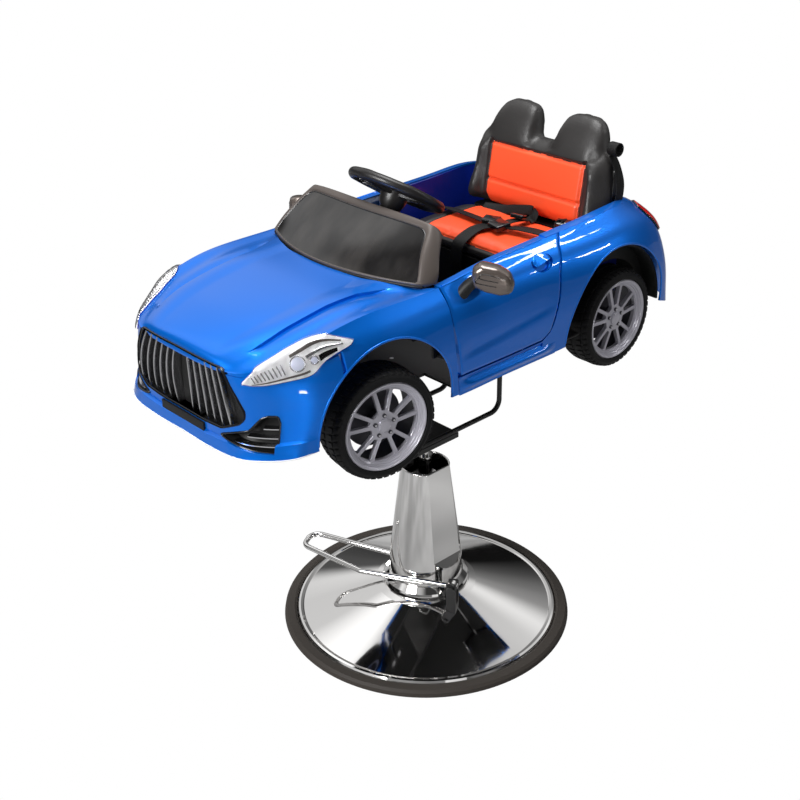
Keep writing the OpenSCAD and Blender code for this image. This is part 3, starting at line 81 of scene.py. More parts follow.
# A mesh object in the scene; edges sharper than smooth degrees stay sharp
def meshObject(name, verts, faces, smooth=40):
    mesh = bpy.data.meshes.new(name)
    mesh.from_pydata([tuple(float(x) for x in v) for v in verts], [],
                     [tuple(int(i) for i in f) for f in faces])
    mesh.validate()
    mesh.update()
    obj = bpy.data.objects.new(name, mesh)
    bpy.context.scene.collection.objects.link(obj)
    shade(obj, smooth)
    return obj


def shade(obj, angle=40):
    mesh = obj.data
    mesh.polygons.foreach_set("use_smooth", [True] * len(mesh.polygons))
    mesh.set_sharp_from_angle(angle=math.radians(angle))
    mesh.update()
    return obj


def normalsOut(obj):
    bm = bmesh.new()
    bm.from_mesh(obj.data)
    bmesh.ops.recalc_face_normals(bm, faces=bm.faces)
    bm.to_mesh(obj.data)
    bm.free()
    return obj


# Faces between the points of a grid, whose first point is number start
def grid(rows, cols, start=0, closed=False, flip=False):
    faces = []
    for i in range(rows - 1):
        for j in range(cols if closed else cols - 1):
            a = start + i * cols + j
            b = start + i * cols + (j + 1) % cols
            c, d = a + cols, b + cols
            faces.append((a, c, d, b) if flip else (a, b, d, c))
    return faces


# A closed shell between two grids of points of the same rows and columns
def skin(name, outer, inner, smooth=40):
    outer, inner = np.asarray(outer, float), np.asarray(inner, float)
    rows, cols = outer.shape[:2]
    last = rows * cols
    faces = grid(rows, cols) + grid(rows, cols, last, flip=True)
    for j in range(cols - 1):
        a, c = j, (rows - 1) * cols + j
        faces += [(a, last + a, last + a + 1, a + 1), (c, c + 1, last + c + 1, last + c)]
    for i in range(rows - 1):
        a, c = i * cols, i * cols + cols - 1
        faces += [(a, a + cols, last + a + cols, last + a), (c, last + c, last + c + cols, c + cols)]
    obj = meshObject(name, np.vstack([outer.reshape(-1, 3), inner.reshape(-1, 3)]), faces, smooth)
    normalsOut(obj)
    return shade(obj, smooth)


# What closes a run of rings: two flat ends, or the faces from the last ring back to the first
def endFaces(rows, around, closed=False):
    last = (rows - 1) * around
    if closed:
        return [(last + j, last + (j + 1) % around, (j + 1) % around, j) for j in range(around)]
    return [tuple(range(around))[::-1], tuple(last + j for j in range(around))]


# A tube, or a flat section where profile is given, along a path of points
def sweep(name, path, radius, sides=12, closed=False, profile=None, ups=None, smooth=50):
    path = np.asarray(path, float)
    count = len(path)
    tangent = np.roll(path, -1, 0) - np.roll(path, 1, 0)
    if not closed:
        tangent[0], tangent[-1] = path[1] - path[0], path[-1] - path[-2]
    tangent = unit(tangent)
    if profile is None:
        turn = np.linspace(0, 2 * math.pi, sides, endpoint=False)
        profile = np.stack([np.cos(turn), np.sin(turn)], 1)
    profile = np.asarray(profile, float)
    radii = np.broadcast_to(np.asarray(radius, float), (count,))
    up = np.array([0.0, 0, 1]) if abs(tangent[0][2]) < 0.9 else np.array([1.0, 0, 0])
    verts = []
    for i in range(count):
        if ups is not None:
            up = np.asarray(ups[i], float)
        side = unit(np.cross(tangent[i], up))
        up = unit(np.cross(side, tangent[i]))
        for p in profile:
            verts.append(path[i] + radii[i] * (p[0] * side + p[1] * up))
    n = len(profile)
    faces = grid(count, n, closed=True) + endFaces(count, n, closed)
    obj = meshObject(name, verts, faces, smooth)
    normalsOut(obj)
    return shade(obj, smooth)


# A turned piece from (radius, height) points, about Z or X through centre
def lathe(name, profile, axis="z", steps=96, centre=(0, 0, 0), smooth=35):
    verts = []
    turn = np.linspace(0, 2 * math.pi, steps, endpoint=False)
    for t in turn:
        for r, h in profile:
            x, y = r * math.cos(t), r * math.sin(t)
            verts.append(np.array((x, y, h) if axis == "z" else (h, x, y)) + np.array(centre))
    n = len(profile)
    faces = []
    for i in range(steps):
        k = (i + 1) % steps
        for j in range(n):
            m = (j + 1) % n
            faces.append((i * n + j, k * n + j, k * n + m, i * n + m))
    obj = meshObject(name, verts, faces, smooth)
    bm = bmesh.new()
    bm.from_mesh(obj.data)
    bmesh.ops.remove_doubles(bm, verts=bm.verts, dist=1e-6)
    bmesh.ops.recalc_face_normals(bm, faces=bm.faces)
    bm.to_mesh(obj.data)
    bm.free()
    return shade(obj, smooth)


# A block between two corners, with its edges bevelled
def block(name, low, high, bevel=0.001, segments=2):
    bm = bmesh.new()
    bmesh.ops.create_cube(bm, size=1)
    low, high = np.array(low, float), np.array(high, float)
    for v in bm.verts:
        v.co = Vector((low + high) / 2 + np.array(v.co) * (high - low))
    if bevel:
        bmesh.ops.bevel(bm, geom=bm.edges[:], offset=bevel, segments=segments, affect="EDGES", profile=0.6)
    mesh = bpy.data.meshes.new(name)
    bm.to_mesh(mesh)
    bm.free()
    obj = bpy.data.objects.new(name, mesh)
    bpy.context.scene.collection.objects.link(obj)
    return shade(obj, 40)


# A straight block of an outline; the outline's two values are the other axes in order
def prism(name, outline, axis, start, end, smooth=30):
    n = len(outline)
    other = [i for i in range(3) if i != axis]
    verts = []
    for h in (start, end):
        for p in outline:
            v = [0, 0, 0]
            v[axis], v[other[0]], v[other[1]] = h, p[0], p[1]
            verts.append(v)
    faces = [tuple(range(n)), tuple(range(n, 2 * n))[::-1]]
    faces += [(j, n + j, n + (j + 1) % n, (j + 1) % n) for j in range(n)]
    obj = meshObject(name, verts, faces, smooth)
    normalsOut(obj)
    return shade(obj, smooth)


# Takes the tools out of a piece, and removes them
def cut(obj, tools, smooth=40):
    for tool in tools:
        m = obj.modifiers.new("cut", "BOOLEAN")
        m.operation = "DIFFERENCE"
        m.solver = "MANIFOLD"
        m.object = tool
        bake(obj)
        bpy.data.objects.remove(tool)
    return shade(obj, smooth)


# Applies the modifiers, so the object is a plain mesh
def bake(obj):
    graph = bpy.context.evaluated_depsgraph_get()
    mesh = bpy.data.meshes.new_from_object(obj.evaluated_get(graph))
    obj.modifiers.clear()
    old = obj.data
    obj.data = mesh
    bpy.data.meshes.remove(old)
    return obj


# One piece from several meshes; each keeps its own material
def join(name, parts):
    mats = []
    bm = bmesh.new()
    for p in parts:
        base = len(mats)
        mats += [m for m in p.data.materials] or [None]
        first = len(bm.faces)
        bm.from_mesh(p.data)
        bm.faces.ensure_lookup_table()
        for f in bm.faces[first:]:
            f.material_index += base
    mesh = bpy.data.meshes.new(name)
    bm.to_mesh(mesh)
    bm.free()
    for m in mats:
        mesh.materials.append(m)
    obj = bpy.data.objects.new(name, mesh)
    bpy.context.scene.collection.objects.link(obj)
    for p in parts:
        bpy.data.objects.remove(p)
    return obj


# The same piece on the other side of the middle plane
def mirrored(obj, name):
    twin = obj.copy()
    twin.data = obj.data.copy()
    twin.name = name
    twin.data.transform(Matrix.Diagonal((-1, 1, 1, 1)))
    twin.data.flip_normals()
    bpy.context.scene.collection.objects.link(twin)
    return twin


def paint(obj, material):
    obj.data.materials.clear()
    obj.data.materials.append(material)
    return obj


# Hands a finished piece over: the body it moves with, its material and the nodes it stands for
def place(obj, body, material, nodesFor=()):
    if material is not None:
        paint(obj, material)
    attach(obj, body)
    if nodesFor:
        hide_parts(*nodesFor)
    return obj


# Materials

def principled(name, color, rough=0.4, metal=0.0, coat=0.0, coatRough=0.03, spec=0.5,
               transmission=0.0, ior=1.5):
    mat = bpy.data.materials.new(name)
    mat.use_nodes = True
    shader = mat.node_tree.nodes["Principled BSDF"]
    values = {"Base Color": (*color, 1), "Roughness": rough, "Metallic": metal, "Coat Weight": coat,
              "Coat Roughness": coatRough, "Specular IOR Level": spec, "Transmission Weight": transmission,
              "IOR": ior}
    for key, value in values.items():
        shader.inputs[key].default_value = value
    return mat


def wire(tree, pairs):
    for source, target in pairs:
        tree.links.new(source, target)


def mapRange(node, *values):
    for key, value in zip(("From Min", "From Max", "To Min", "To Max"), values):
        node.inputs[key].default_value = value


def addNode(mat, kind):
    return mat.node_tree.nodes.new(kind)


# A pattern on Object coordinates
def noise(mat, scale, detail=3.0, roughness=0.5, stretch=None, kind="ShaderNodeTexNoise"):
    coords = addNode(mat, "ShaderNodeTexCoord")
    node = addNode(mat, kind)
    node.inputs["Scale"].default_value = scale
    if kind == "ShaderNodeTexNoise":
        node.inputs["Detail"].default_value = detail
        node.inputs["Roughness"].default_value = roughness
    source = coords.outputs["Object"]
    if stretch:
        mapping = addNode(mat, "ShaderNodeMapping")
        mapping.inputs["Scale"].default_value = stretch
        mat.node_tree.links.new(source, mapping.inputs["Vector"])
        source = mapping.outputs["Vector"]
    mat.node_tree.links.new(source, node.inputs["Vector"])
    return node


# Adds a relief to the surface, on top of one that it already has
def addBump(mat, height, strength, distance):
    bump = addNode(mat, "ShaderNodeBump")
    bump.inputs["Strength"].default_value = strength
    bump.inputs["Distance"].default_value = distance
    mat.node_tree.links.new(height, bump.inputs["Height"])
    shader = mat.node_tree.nodes["Principled BSDF"]
    before = shader.inputs["Normal"].links
    if before:
        mat.node_tree.links.new(before[0].from_socket, bump.inputs["Normal"])
    mat.node_tree.links.new(bump.outputs["Normal"], shader.inputs["Normal"])
    return mat


# Roughness between low and high, after the node's pattern
def varyRough(mat, node, low, high):
    ramp = addNode(mat, "ShaderNodeMapRange")
    ramp.inputs["To Min"].default_value = low
    ramp.inputs["To Max"].default_value = high
    mat.node_tree.links.new(node.outputs[0], ramp.inputs["Value"])
    mat.node_tree.links.new(ramp.outputs["Result"],
                            mat.node_tree.nodes["Principled BSDF"].inputs["Roughness"])
    return mat


def varyColor(mat, node, dark, light, low=0.35, high=0.65):
    ramp = addNode(mat, "ShaderNodeValToRGB")
    ramp.color_ramp.elements[0].color = (*dark, 1)
    ramp.color_ramp.elements[1].color = (*light, 1)
    ramp.color_ramp.elements[0].position = low
    ramp.color_ramp.elements[1].position = high
    mat.node_tree.links.new(node.outputs[0], ramp.inputs["Fac"])
    mat.node_tree.links.new(ramp.outputs["Color"],
                            mat.node_tree.nodes["Principled BSDF"].inputs["Base Color"])
    return mat


# Name, colour, roughness, and the shader values where they differ from the defaults of principled
looks = {
    "blue": ("car_blue", (0.0006, 0.165, 0.74), 0.34,
             {"metal": 0.70, "coat": 1.0, "coatRough": 0.015, "spec": 0.2}),
    "deepBlue": ("inner_blue", (0.003, 0.018, 0.27), 0.42, {"coat": 0.2, "coatRough": 0.1, "spec": 0.2}),
    "chrome": ("chrome", (0.82, 0.81, 0.80), 0.05, {"metal": 1.0}),
    "blackSteel": ("black_steel", (0.012, 0.012, 0.012), 0.42, {}),
    "brightSteel": ("bright_steel", (0.55, 0.55, 0.56), 0.3, {"metal": 1.0}),
    "rubber": ("rubber", (0.040, 0.034, 0.029), 0.62, {"spec": 0.3}),
    "tyre": ("tyre", (0.006, 0.006, 0.0065), 0.6, {"spec": 0.2}),
    "rim": ("rim_silver", (0.50, 0.49, 0.55), 0.36, {"metal": 0.35, "coat": 0.2, "coatRough": 0.1}),
    # rim_painted_shade is the rim's silver made dark: painted shade inside the barrel, on the disc behind the
    # spokes, in the nut recesses and on the hub's back
    "rimPaintedShade": ("rim_painted_shade", (0.05, 0.05, 0.062), 0.5, {"metal": 0.3}),
    "trim": ("trim_black", (0.006, 0.006, 0.006), 0.5, {"spec": 0.3}),
    "gloss": ("gloss_black", (0.006, 0.006, 0.007), 0.16, {"coat": 0.5, "coatRough": 0.05}),
    "frame": ("frame_grey", (0.075, 0.062, 0.055), 0.42, {"metal": 0.2}),
    "mirror": ("mirror_bronze", (0.15, 0.123, 0.108), 0.27, {"metal": 0.65, "coat": 0.5, "coatRough": 0.06}),
    # smoked_panel gets lighter and darker diagonal streaks in its colour: painted reflection on the glass
    "smoke": ("smoked_panel", (0.05, 0.045, 0.042), 0.14, {"coat": 0.5, "coatRough": 0.05, "spec": 0.3}),
    "bulb": ("lamp_eye", (0.75, 0.78, 0.95), 0.1, {"metal": 0.2, "coat": 0.8, "coatRough": 0.02}),
    "red": ("red_lens", (0.55, 0.008, 0.006), 0.12, {"coat": 1.0, "coatRough": 0.02}),
    "lens": ("clear_lens", (1.0, 1.0, 1.0), 0.03,
             {"coat": 0.5, "coatRough": 0.02, "transmission": 1.0, "ior": 1.12}),
    # lamp_reflector stands for a chrome reflector: near-white and mostly diffuse, a painted reflection
    "reflector": ("lamp_reflector", (0.86, 0.89, 0.93), 0.30, {"metal": 0.10}),
    "silver": ("bright_trim", (0.6, 0.6, 0.62), 0.22, {"metal": 1.0}),
    "blackLeather": ("black_leather", (0.018, 0.0165, 0.016), 0.42,
                     {"coat": 0.1, "coatRough": 0.4, "spec": 0.4}),
    "redLeather": ("red_leather", (0.90, 0.085, 0.022), 0.40, {"coat": 0.15, "coatRough": 0.35}),
    "web": ("webbing", (0.005, 0.005, 0.005), 0.62, {"spec": 0.25}),
    "grip": ("grip_black", (0.011, 0.010, 0.010), 0.36, {"spec": 0.4}),
    # painted_highlight_edge paints a highlight: the pale line along the bumper lip's lower edge
    "white": ("painted_highlight_edge", (0.8, 0.82, 0.84), 0.3, {"coat": 0.4})}

# Fine grain: noise scale, detail, strength, depth
grain = {"blue": (2600, 1, 0.05, 0.0002), "deepBlue": (700, 2, 0.1, 0.0002), "rubber": (500, 4, 0.2, 0.0004),
         "blackSteel": (900, 2, 0.12, 0.0003), "tyre": (420, 3, 0.18, 0.0004), "trim": (1100, 2, 0.15, 0.0003),
         "frame": (900, 2, 0.08, 0.0002), "grip": (600, 2, 0.15, 0.0003)}

# Uneven gloss: noise scale, detail, least and most roughness
unevenGloss = {"blue": (9, 2, 0.32, 0.40), "chrome": (30, 4, 0.03, 0.08), "rim": (40, 3, 0.26, 0.38),
               "rimPaintedShade": (60, 3, 0.4, 0.55), "gloss": (20, 2, 0.13, 0.22), "mirror": (12, 2, 0.22, 0.28),
               "smoke": (14, 2, 0.06, 0.18), "bulb": (90, 2, 0.06, 0.2), "lens": (50, 2, 0.02, 0.06),
               "silver": (90, 2, 0.16, 0.3), "white": (60, 2, 0.25, 0.35)}


def makeMaterials():
    m = {}
    for key, (name, color, rough, more) in looks.items():
        m[key] = principled(name, color, rough, **more)
    for key, (scale, detail, least, most) in unevenGloss.items():
        varyRough(m[key], noise(m[key], scale, detail), least, most)
    for key, (scale, detail, strength, depth) in grain.items():
        addBump(m[key], noise(m[key], scale, detail).outputs[0], strength, depth)
    m["blue"].node_tree.nodes["Principled BSDF"].inputs["Coat IOR"].default_value = 1.32
    varyRough(m["brightSteel"], noise(m["brightSteel"], 200, 3, stretch=(1, 1, 12)), 0.2, 0.4)
    # Darker and lighter diagonal streaks in the pane's colour: painted reflection
    reflectionStreaks = noise(m["smoke"], 5, 3, 0.6, stretch=(3.2, 1.2, 1.6))
    varyColor(m["smoke"], reflectionStreaks, (0.008, 0.0075, 0.0075), (0.034, 0.031, 0.029), 0.42, 0.78)
    addBump(m["red"], noise(m["red"], 300, kind="ShaderNodeTexVoronoi").outputs[0], 0.15, 0.0005)
    # Lighter and darker cells in the reflector's colour are painted reflection of its facets; the same cells
    # also give the facets their relief
    facetsAndGlints = noise(m["reflector"], 60, kind="ShaderNodeTexVoronoi", stretch=(2.2, 1.0, 0.6))
    varyColor(m["reflector"], facetsAndGlints, (0.98, 0.98, 1.0), (0.70, 0.69, 0.70), 0.15, 0.85)
    addBump(m["reflector"], facetsAndGlints.outputs[0], 0.5, 0.002)
    for key in ("blackLeather", "redLeather"):
        addBump(m[key], noise(m[key], 380, kind="ShaderNodeTexVoronoi").outputs[0], 0.22, 0.0006)
        addBump(m[key], noise(m[key], 26, 3).outputs[0], 0.12, 0.004)
    addBump(m["web"], noise(m["web"], 420, kind="ShaderNodeTexWave").outputs[0], 0.35, 0.0006)
    return m


materials = makeMaterials()
print("materials made")


# The body's lines from the nose round the left side to the tail, as shares of half width, length and height
body = {"halfWidth": 0.250, "length": 1.020, "nose": 0.555, "sill": 0.648, "height": 0.300, "wall": 0.0045}
lowShares = [(0, 0.01, -0.02), (0.28, 0.009, -0.02), (0.524, 0.011, -0.01), (0.668, 0.024, -0.003),
             (0.82, 0.058, 0.007), (0.912, 0.107, 0.02), (0.96, 0.221, 0.02), (0.972, 0.394, 0),
             (0.984, 0.505, 0.007), (0.984, 0.642, 0), (0.984, 0.74, 0.007), (0.976, 0.838, 0.023),
             (0.96, 0.936, 0.013), (0.888, 0.993, -0.04), (0.6, 1.005, 0.047), (0, 1.005, 0.05)]
midShares = [(0, 0.008, 0.173), (0.28, 0.008, 0.173), (0.496, 0.014, 0.19), (0.64, 0.031, 0.207),
             (0.8, 0.069, 0.227), (0.932, 0.123, 0.24), (1, 0.221, 0.273), (0.988, 0.383, 0.307),
             (0.996, 0.505, 0.32), (1.004, 0.642, 0.32), (1.02, 0.74, 0.34), (1.02, 0.838, 0.34),
             (0.988, 0.922, 0.313), (0.912, 0.97, 0.29), (0.632, 0.996, 0.29), (0, 1.002, 0.29)]
topShares = [(0, 0.012, 0.45), (0.28, 0.012, 0.45), (0.484, 0.017, 0.457), (0.616, 0.039, 0.473),
             (0.72, 0.083, 0.533), (0.788, 0.127, 0.593), (0.824, 0.221, 0.647), (0.84, 0.379, 0.647),
             (0.82, 0.505, 0.677), (0.812, 0.642, 0.69), (0.808, 0.74, 0.697), (0.796, 0.838, 0.71),
             (0.736, 0.899, 0.69), (0.62, 0.944, 0.64), (0.42, 0.972, 0.567), (0, 0.982, 0.567)]
hoodShares = [(0.012, 0.45), (0.022, 0.517), (0.073, 0.58), (0.137, 0.62), (0.225, 0.653), (0.304, 0.667)]
seamShares = [0.95, 0.9, 0.8, 0.74, 0.72, 0.72]
columnCount = 15
cornerCol, seamCol, hingeCol = 2, 5.42, 7  # columns of the nose corner, bumper seam and door hinge


def toBody(shares):
    s = np.asarray(shares, float)
    scale = np.array([body["halfWidth"], body["length"], body["height"]])
    return s * scale + np.array([0, -body["nose"], body["sill"]])


lowLine, midLine, topLine = toBody(lowShares), toBody(midShares), toBody(topShares)


def sideLine(line, c):
    return along(line, np.asarray(c, float) / columnCount)


# Point on the left side at column c and height share t; arrays of one shape
def sideAt(c, t):
    c, t = np.broadcast_arrays(np.asarray(c, float), np.asarray(t, float))
    a, b, d = sideLine(lowLine, c), sideLine(midLine, c), sideLine(topLine, c)
    s = np.stack([mix(b[..., 0], d[..., 0], 0.35), mix(b[..., 1], d[..., 1], 0.35),
                  mix(b[..., 2], d[..., 2], 0.65)], -1)
    p = np.stack([2 * a - b, a, b, s, d, 2 * d - s])
    u = np.clip(t * 3, 0, 3)
    i = np.minimum(u.astype(int), 2)
    f = (u - i)[..., None]
    pick = [np.take_along_axis(p, (i + k)[None, ..., None], 0)[0] for k in range(4)]
    out = bend(*pick, f)
    over = np.maximum(t - 1, 0)[..., None] * 3
    under = np.minimum(t, 0)[..., None] * 3
    return out + over * (d - s) + under * (b - a)


def inward(c):
    c = np.asarray(c, float)
    v = sideLine(midLine, np.minimum(c + 0.1, columnCount)) - sideLine(midLine, np.maximum(c - 0.1, 0))
    n = unit(v[..., :2])
    return np.stack([-n[..., 1], n[..., 0], np.zeros_like(c)], -1)


# Outward normal of the side
def sideNormal(c, t):
    c, t = np.broadcast_arrays(np.asarray(c, float), np.asarray(t, float))
    e = 0.01
    dc = sideAt(np.minimum(c + e, columnCount), t) - sideAt(np.maximum(c - e, 0), t)
    dt = sideAt(c, t + e) - sideAt(c, t - e)
    return unit(np.cross(dc, dt))


# Columns and height shares of the left side's points at y and z, by Newton steps
def onSide(y, z):
    y, z = np.broadcast_arrays(np.asarray(y, float), np.asarray(z, float))
    c = np.interp(y, midLine[2:, 1], np.arange(2, 16.0))
    t = np.full(y.shape, 0.5)
    e = 0.01
    for _ in range(14):
        p = sideAt(c, t)
        pc = (sideAt(c + e, t) - p) / e
        pt = (sideAt(c, t + e) - p) / e
        ry, rz = y - p[..., 1], z - p[..., 2]
        det = pc[..., 1] * pt[..., 2] - pt[..., 1] * pc[..., 2]
        det = np.where(np.abs(det) < 1e-9, 1e-9, det)
        c = np.clip(c + np.clip((ry * pt[..., 2] - rz * pt[..., 1]) / det, -1, 1), 2, 14.5)
        t = np.clip(t + np.clip((pc[..., 1] * rz - pc[..., 2] * ry) / det, -0.3, 0.3), -0.05, 1.05)
    return c, t


def hoodMid(k):
    m = along(hoodShares, k)
    return np.stack([np.zeros_like(m[..., 0]), m[..., 0] * body["length"] - body["nose"],
                     m[..., 1] * body["height"] + body["sill"]], -1)


# k runs from the nose to the windscreen, v from the middle to the fender's top edge
def hoodAt(k, v):
    k, v = np.broadcast_arrays(np.asarray(k, float), np.asarray(v, float))
    c = mix(cornerCol, hingeCol, k)
    m, e = hoodMid(k), sideLine(topLine, c)
    fade, w = ease(0.08, 0.4, k), np.abs(v)
    bulge = 0.002 * hump(0.60, 0.16, w) - 0.0025 * hump(0.86, 0.12, w)
    z = mix(m[..., 2], e[..., 2], w ** 2.2) + fade * bulge
    past = (w - creaseAt(k)) / 0.15
    outside = np.where(past > 0, np.clip(1 - past, 0, 1) ** 1.5, 0)
    z = z - 0.0052 * ease(0.30, 0.42, k) * (1 - ease(0.91, 0.975, k)) * outside
    return np.stack([e[..., 0] * v, mix(m[..., 1], e[..., 1], w ** 3), z], -1)


def creaseAt(k):
    return np.interp(k, [0, 0.34, 0.58, 0.76, 0.88, 0.94, 1], [0.76, 0.725, 0.675, 0.655, 0.665, 0.72, 0.80])


def hoodDir(c, v):
    c, v = np.broadcast_arrays(np.asarray(c, float), np.asarray(v, float))
    w, n = ease(0.7, 1, np.abs(v)), inward(c)
    return unit(np.stack([n[..., 0] * w * np.sign(v + 1e-9), n[..., 1] * w, -1 + 0.75 * w], -1))


def seamAt(c):
    c = np.asarray(c, float)
    inner = along(seamShares, np.clip((c - cornerCol) / (seamCol - cornerCol), 0, 1))
    return np.where(c <= cornerCol, seamShares[0], inner)


# Wheel arches: where their centre lies and their radius; the tool reaches past both sides
frontArch = {"y": -0.309, "z": 0.660, "r": 0.141, "half": 0.32}
rearArch = {"y": 0.270, "z": 0.6575, "r": 0.148, "half": 0.32}


def makeArch(spec):
    r, half = spec["r"], spec["half"]
    return lathe("arch", [(0, -half), (r, -half), (r, half), (0, half)], "x", 160, (0, spec["y"], spec["z"]))


# A rolled edge that follows the arch on the left side
def archLip(name, spec, lowZ):
    turn = np.radians(np.linspace(0, 180, 90))
    y, z = spec["y"] - spec["r"] * np.cos(turn), spec["z"] + spec["r"] * np.sin(turn)
    keep = z > lowZ
    y, z = y[keep], z[keep]
    c, t = onSide(y, z)
    points = sideAt(c, t) - 0.0016 * sideNormal(c, t)
    return sweep(name, points, 0.0024, 10, smooth=60)


def frontShell():
    rows, band, hood = 110, 16, 44
    ks = np.linspace(0, 1, rows)
    outer, inner = [], []
    wall = body["wall"]
    for k in ks:
        c = mix(cornerCol, hingeCol, k)
        low = float(seamAt(c)) + 0.012 if c < seamCol - 0.02 else 0.01
        t = np.linspace(low, 1, band, endpoint=False)
        side = sideAt(np.full(band, c), t)
        fold = float(creaseAt(k))
        v = np.concatenate([np.linspace(1, fold + 0.012, hood // 3), np.linspace(fold, 0, hood - hood // 3)])
        v[hood // 3 - 1] = fold + 0.0045
        top = hoodAt(np.full(hood, k), v)
        left = np.vstack([side, top])
        d = np.vstack([np.tile(hoodDir(c, 1.0), (band, 1)), hoodDir(np.full(hood, c), v)])
        deep = left + wall * d
        flip = np.array([-1, 1, 1])
        outer.append(np.vstack([left, (left * flip)[:-1][::-1]]))
        inner.append(np.vstack([deep, (deep * flip)[:-1][::-1]]))
    obj = skin("front_body", outer, inner, 32)
    return cut(obj, [makeArch(frontArch)], smooth=32)


# A block over an outline in shares of half width and height, across the nose
def outlineTool(shares, start, end, mirror=False):
    points = [((-s[0] if mirror else s[0]) * body["halfWidth"], s[1] * body["height"] + body["sill"])
              for s in shares]
    if mirror:
        points = points[::-1]
    return prism("hole", points, 1, start, end)


grilleHalf = [(0.44, 0.47), (0.5, 0.39), (0.55, 0.32), (0.59, 0.25), (0.59, 0.21), (0.555, 0.175),
              (0.41, 0.12), (0.2, 0.112)]
intakeShares = [(0.39, 0.08), (0.53, 0.125), (0.62, 0.15), (0.68, 0.223), (0.71, 0.235), (0.755, 0.235),
                (0.768, 0.2), (0.778, 0.035), (0.68, 0.04), (0.57, 0.052), (0.46, 0.065)]
grilleOutline = grilleHalf + [(-x, z) for x, z in grilleHalf[::-1]]


def bumper():
    steps, rows, end = 150, 26, 5.36
    cols = np.linspace(-end, end, steps)
    a = np.abs(cols)
    outer, inner = [], []
    for c, s in zip(a, cols):
        t = np.concatenate([[0, 0.01, 0.05, 0.11, 0.118, 0.126, 0.135],
                            np.linspace(0.17, float(seamAt(min(c, seamCol - 0.05))), rows - 7)])
        p = sideAt(np.full(rows, c), t)
        lip = 0.0055 * (1 - ease(4.2, 5.0, c)) * (1 - ease(0.115, 0.135, t))
        p = p - (lip + 0.0012 * hump(0.0, 0.03, t))[:, None] * inward(np.full(rows, c))
        q = p + 0.0045 * inward(np.full(rows, c))
        flip = np.array([-1 if s < 0 else 1, 1, 1])
        outer.append(p * flip)
        inner.append(q * flip)
    obj = skin("bumper", outer, inner, 32)
    tools = [makeArch(frontArch), outlineTool(grilleOutline, -0.56, -0.50)]
    tools += [outlineTool(intakeShares, -0.56, -0.43, side) for side in (False, True)]
    return cut(obj, tools, smooth=32)


# Seams round the door, as (share of length, share of height), with the gap left on each side of them
skirtTop, doorFoot = 0.124, 0.597
seamGap = {"panel": 0.0016, "door": 0.0014}
doorRear = [(doorFoot, skirtTop), (0.62, 0.17), (0.638, 0.35), (0.649, 0.507), (0.667, 0.64),
            (0.681, 0.683), (0.7, 0.8)]
doorFront = [(0.397, skirtTop), (0.384, 0.43), (0.382, 0.56), (0.381, 0.8)]


def edgeY(line, z):
    s = (np.asarray(z) - body["sill"]) / body["height"]
    ys = np.interp(s, [p[1] for p in line], [p[0] for p in line])
    return ys * body["length"] - body["nose"]


def rearShell():
    rows, steps = 26, 150
    t = np.linspace(0.004, 1, rows)
    start = np.zeros(rows)
    for j, share in enumerate(t):
        c = 9.0
        for _ in range(30):
            p = sideAt(c, share)
            want = edgeY(doorRear, p[2]) + seamGap["panel"]
            if p[2] < body["sill"] + skirtTop * body["height"]:
                want = doorFoot * body["length"] - body["nose"] + seamGap["panel"]
            c += np.clip((want - p[1]) * 9.0, -0.3, 0.3)
        start[j] = c
    u = np.linspace(0, 1, steps)
    half = start[None, :] + u[:, None] * (columnCount - start[None, :])
    tt = np.broadcast_to(t, half.shape)
    outer = sideAt(half, tt)
    inner = outer + body["wall"] * inward(half)
    flip = np.array([-1, 1, 1])
    outer = np.concatenate([outer, (outer * flip)[:-1][::-1]])
    inner = np.concatenate([inner, (inner * flip)[:-1][::-1]])
    obj = skin("rear_body", outer, inner, 32)
    return cut(obj, [makeArch(rearArch)], smooth=32)


# The flat lip round the cockpit's sides, lipWide across as far as lipEnd, and the deck behind the seat
deckShape = {"start": 9.05, "end": 14.6, "lipWide": 0.016, "lipEnd": 0.372, "rise": 0.0022,
             "thick": 0.004}


def rearDeck():
    steps, across = 60, 16
    outer = []
    for u in np.linspace(0, 1, steps):
        c = mix(deckShape["start"], deckShape["end"], u)
        e = sideLine(topLine, c)
        reach = deckShape["lipWide"] if e[1] < deckShape["lipEnd"] else e[0]
        x = np.linspace(e[0] - 0.001, e[0] - reach, across)
        share = np.clip((e[0] - x) / deckShape["lipWide"], 0, 1)
        z = e[2] + deckShape["rise"] * np.sin(share * math.pi * 0.5)
        outer.append(np.stack([x, np.full(across, e[1]), z], 1))
    outer = np.array(outer)
    inner = outer - np.array([0, 0, deckShape["thick"]])
    left = skin("deck_left", outer, inner, 40)
    right = mirrored(left, "deck_right")
    return join("rear_deck", [left, right])


skirt = {"start": 7.02, "end": 8.94, "ridge": 0.0050, "hollow": 0.0030, "thick": 0.016}


def sideSkirt():
    steps, rows = 60, 20
    cols = np.linspace(skirt["start"], skirt["end"], steps)
    topZ = body["sill"] + skirtTop * body["height"] - seamGap["panel"]
    c = np.broadcast_to(cols[:, None], (steps, rows))
    full = np.zeros((steps, rows))
    for i, col in enumerate(cols):
        t = 0.2
        for _ in range(20):
            p = sideAt(col, t)
            t += np.clip((topZ - p[2]) * 4.0, -0.1, 0.1)
        full[i] = np.linspace(0, t, rows)
    share = full / full[:, -1:]
    fade = np.minimum(1, 8 * np.minimum(np.linspace(0, 1, steps), np.linspace(1, 0, steps)))[:, None]
    ridge = fade * (skirt["ridge"] * hump(0.42, 0.30, share) - skirt["hollow"] * hump(0.80, 0.16, share))
    outer = sideAt(c, full) - ridge[..., None] * inward(c)
    return skin("skirt", outer, sideAt(c, full) + skirt["thick"] * inward(c), 32)


doorPanel = {"start": 7.04, "end": 9.4, "topShare": 0.995, "thick": 0.0155, "turnIn": 0.0012,
             "dip": 0.0030, "dipZ": 0.722, "dipSlope": 0.10, "dipBelow": 0.012, "dipAbove": 0.055}


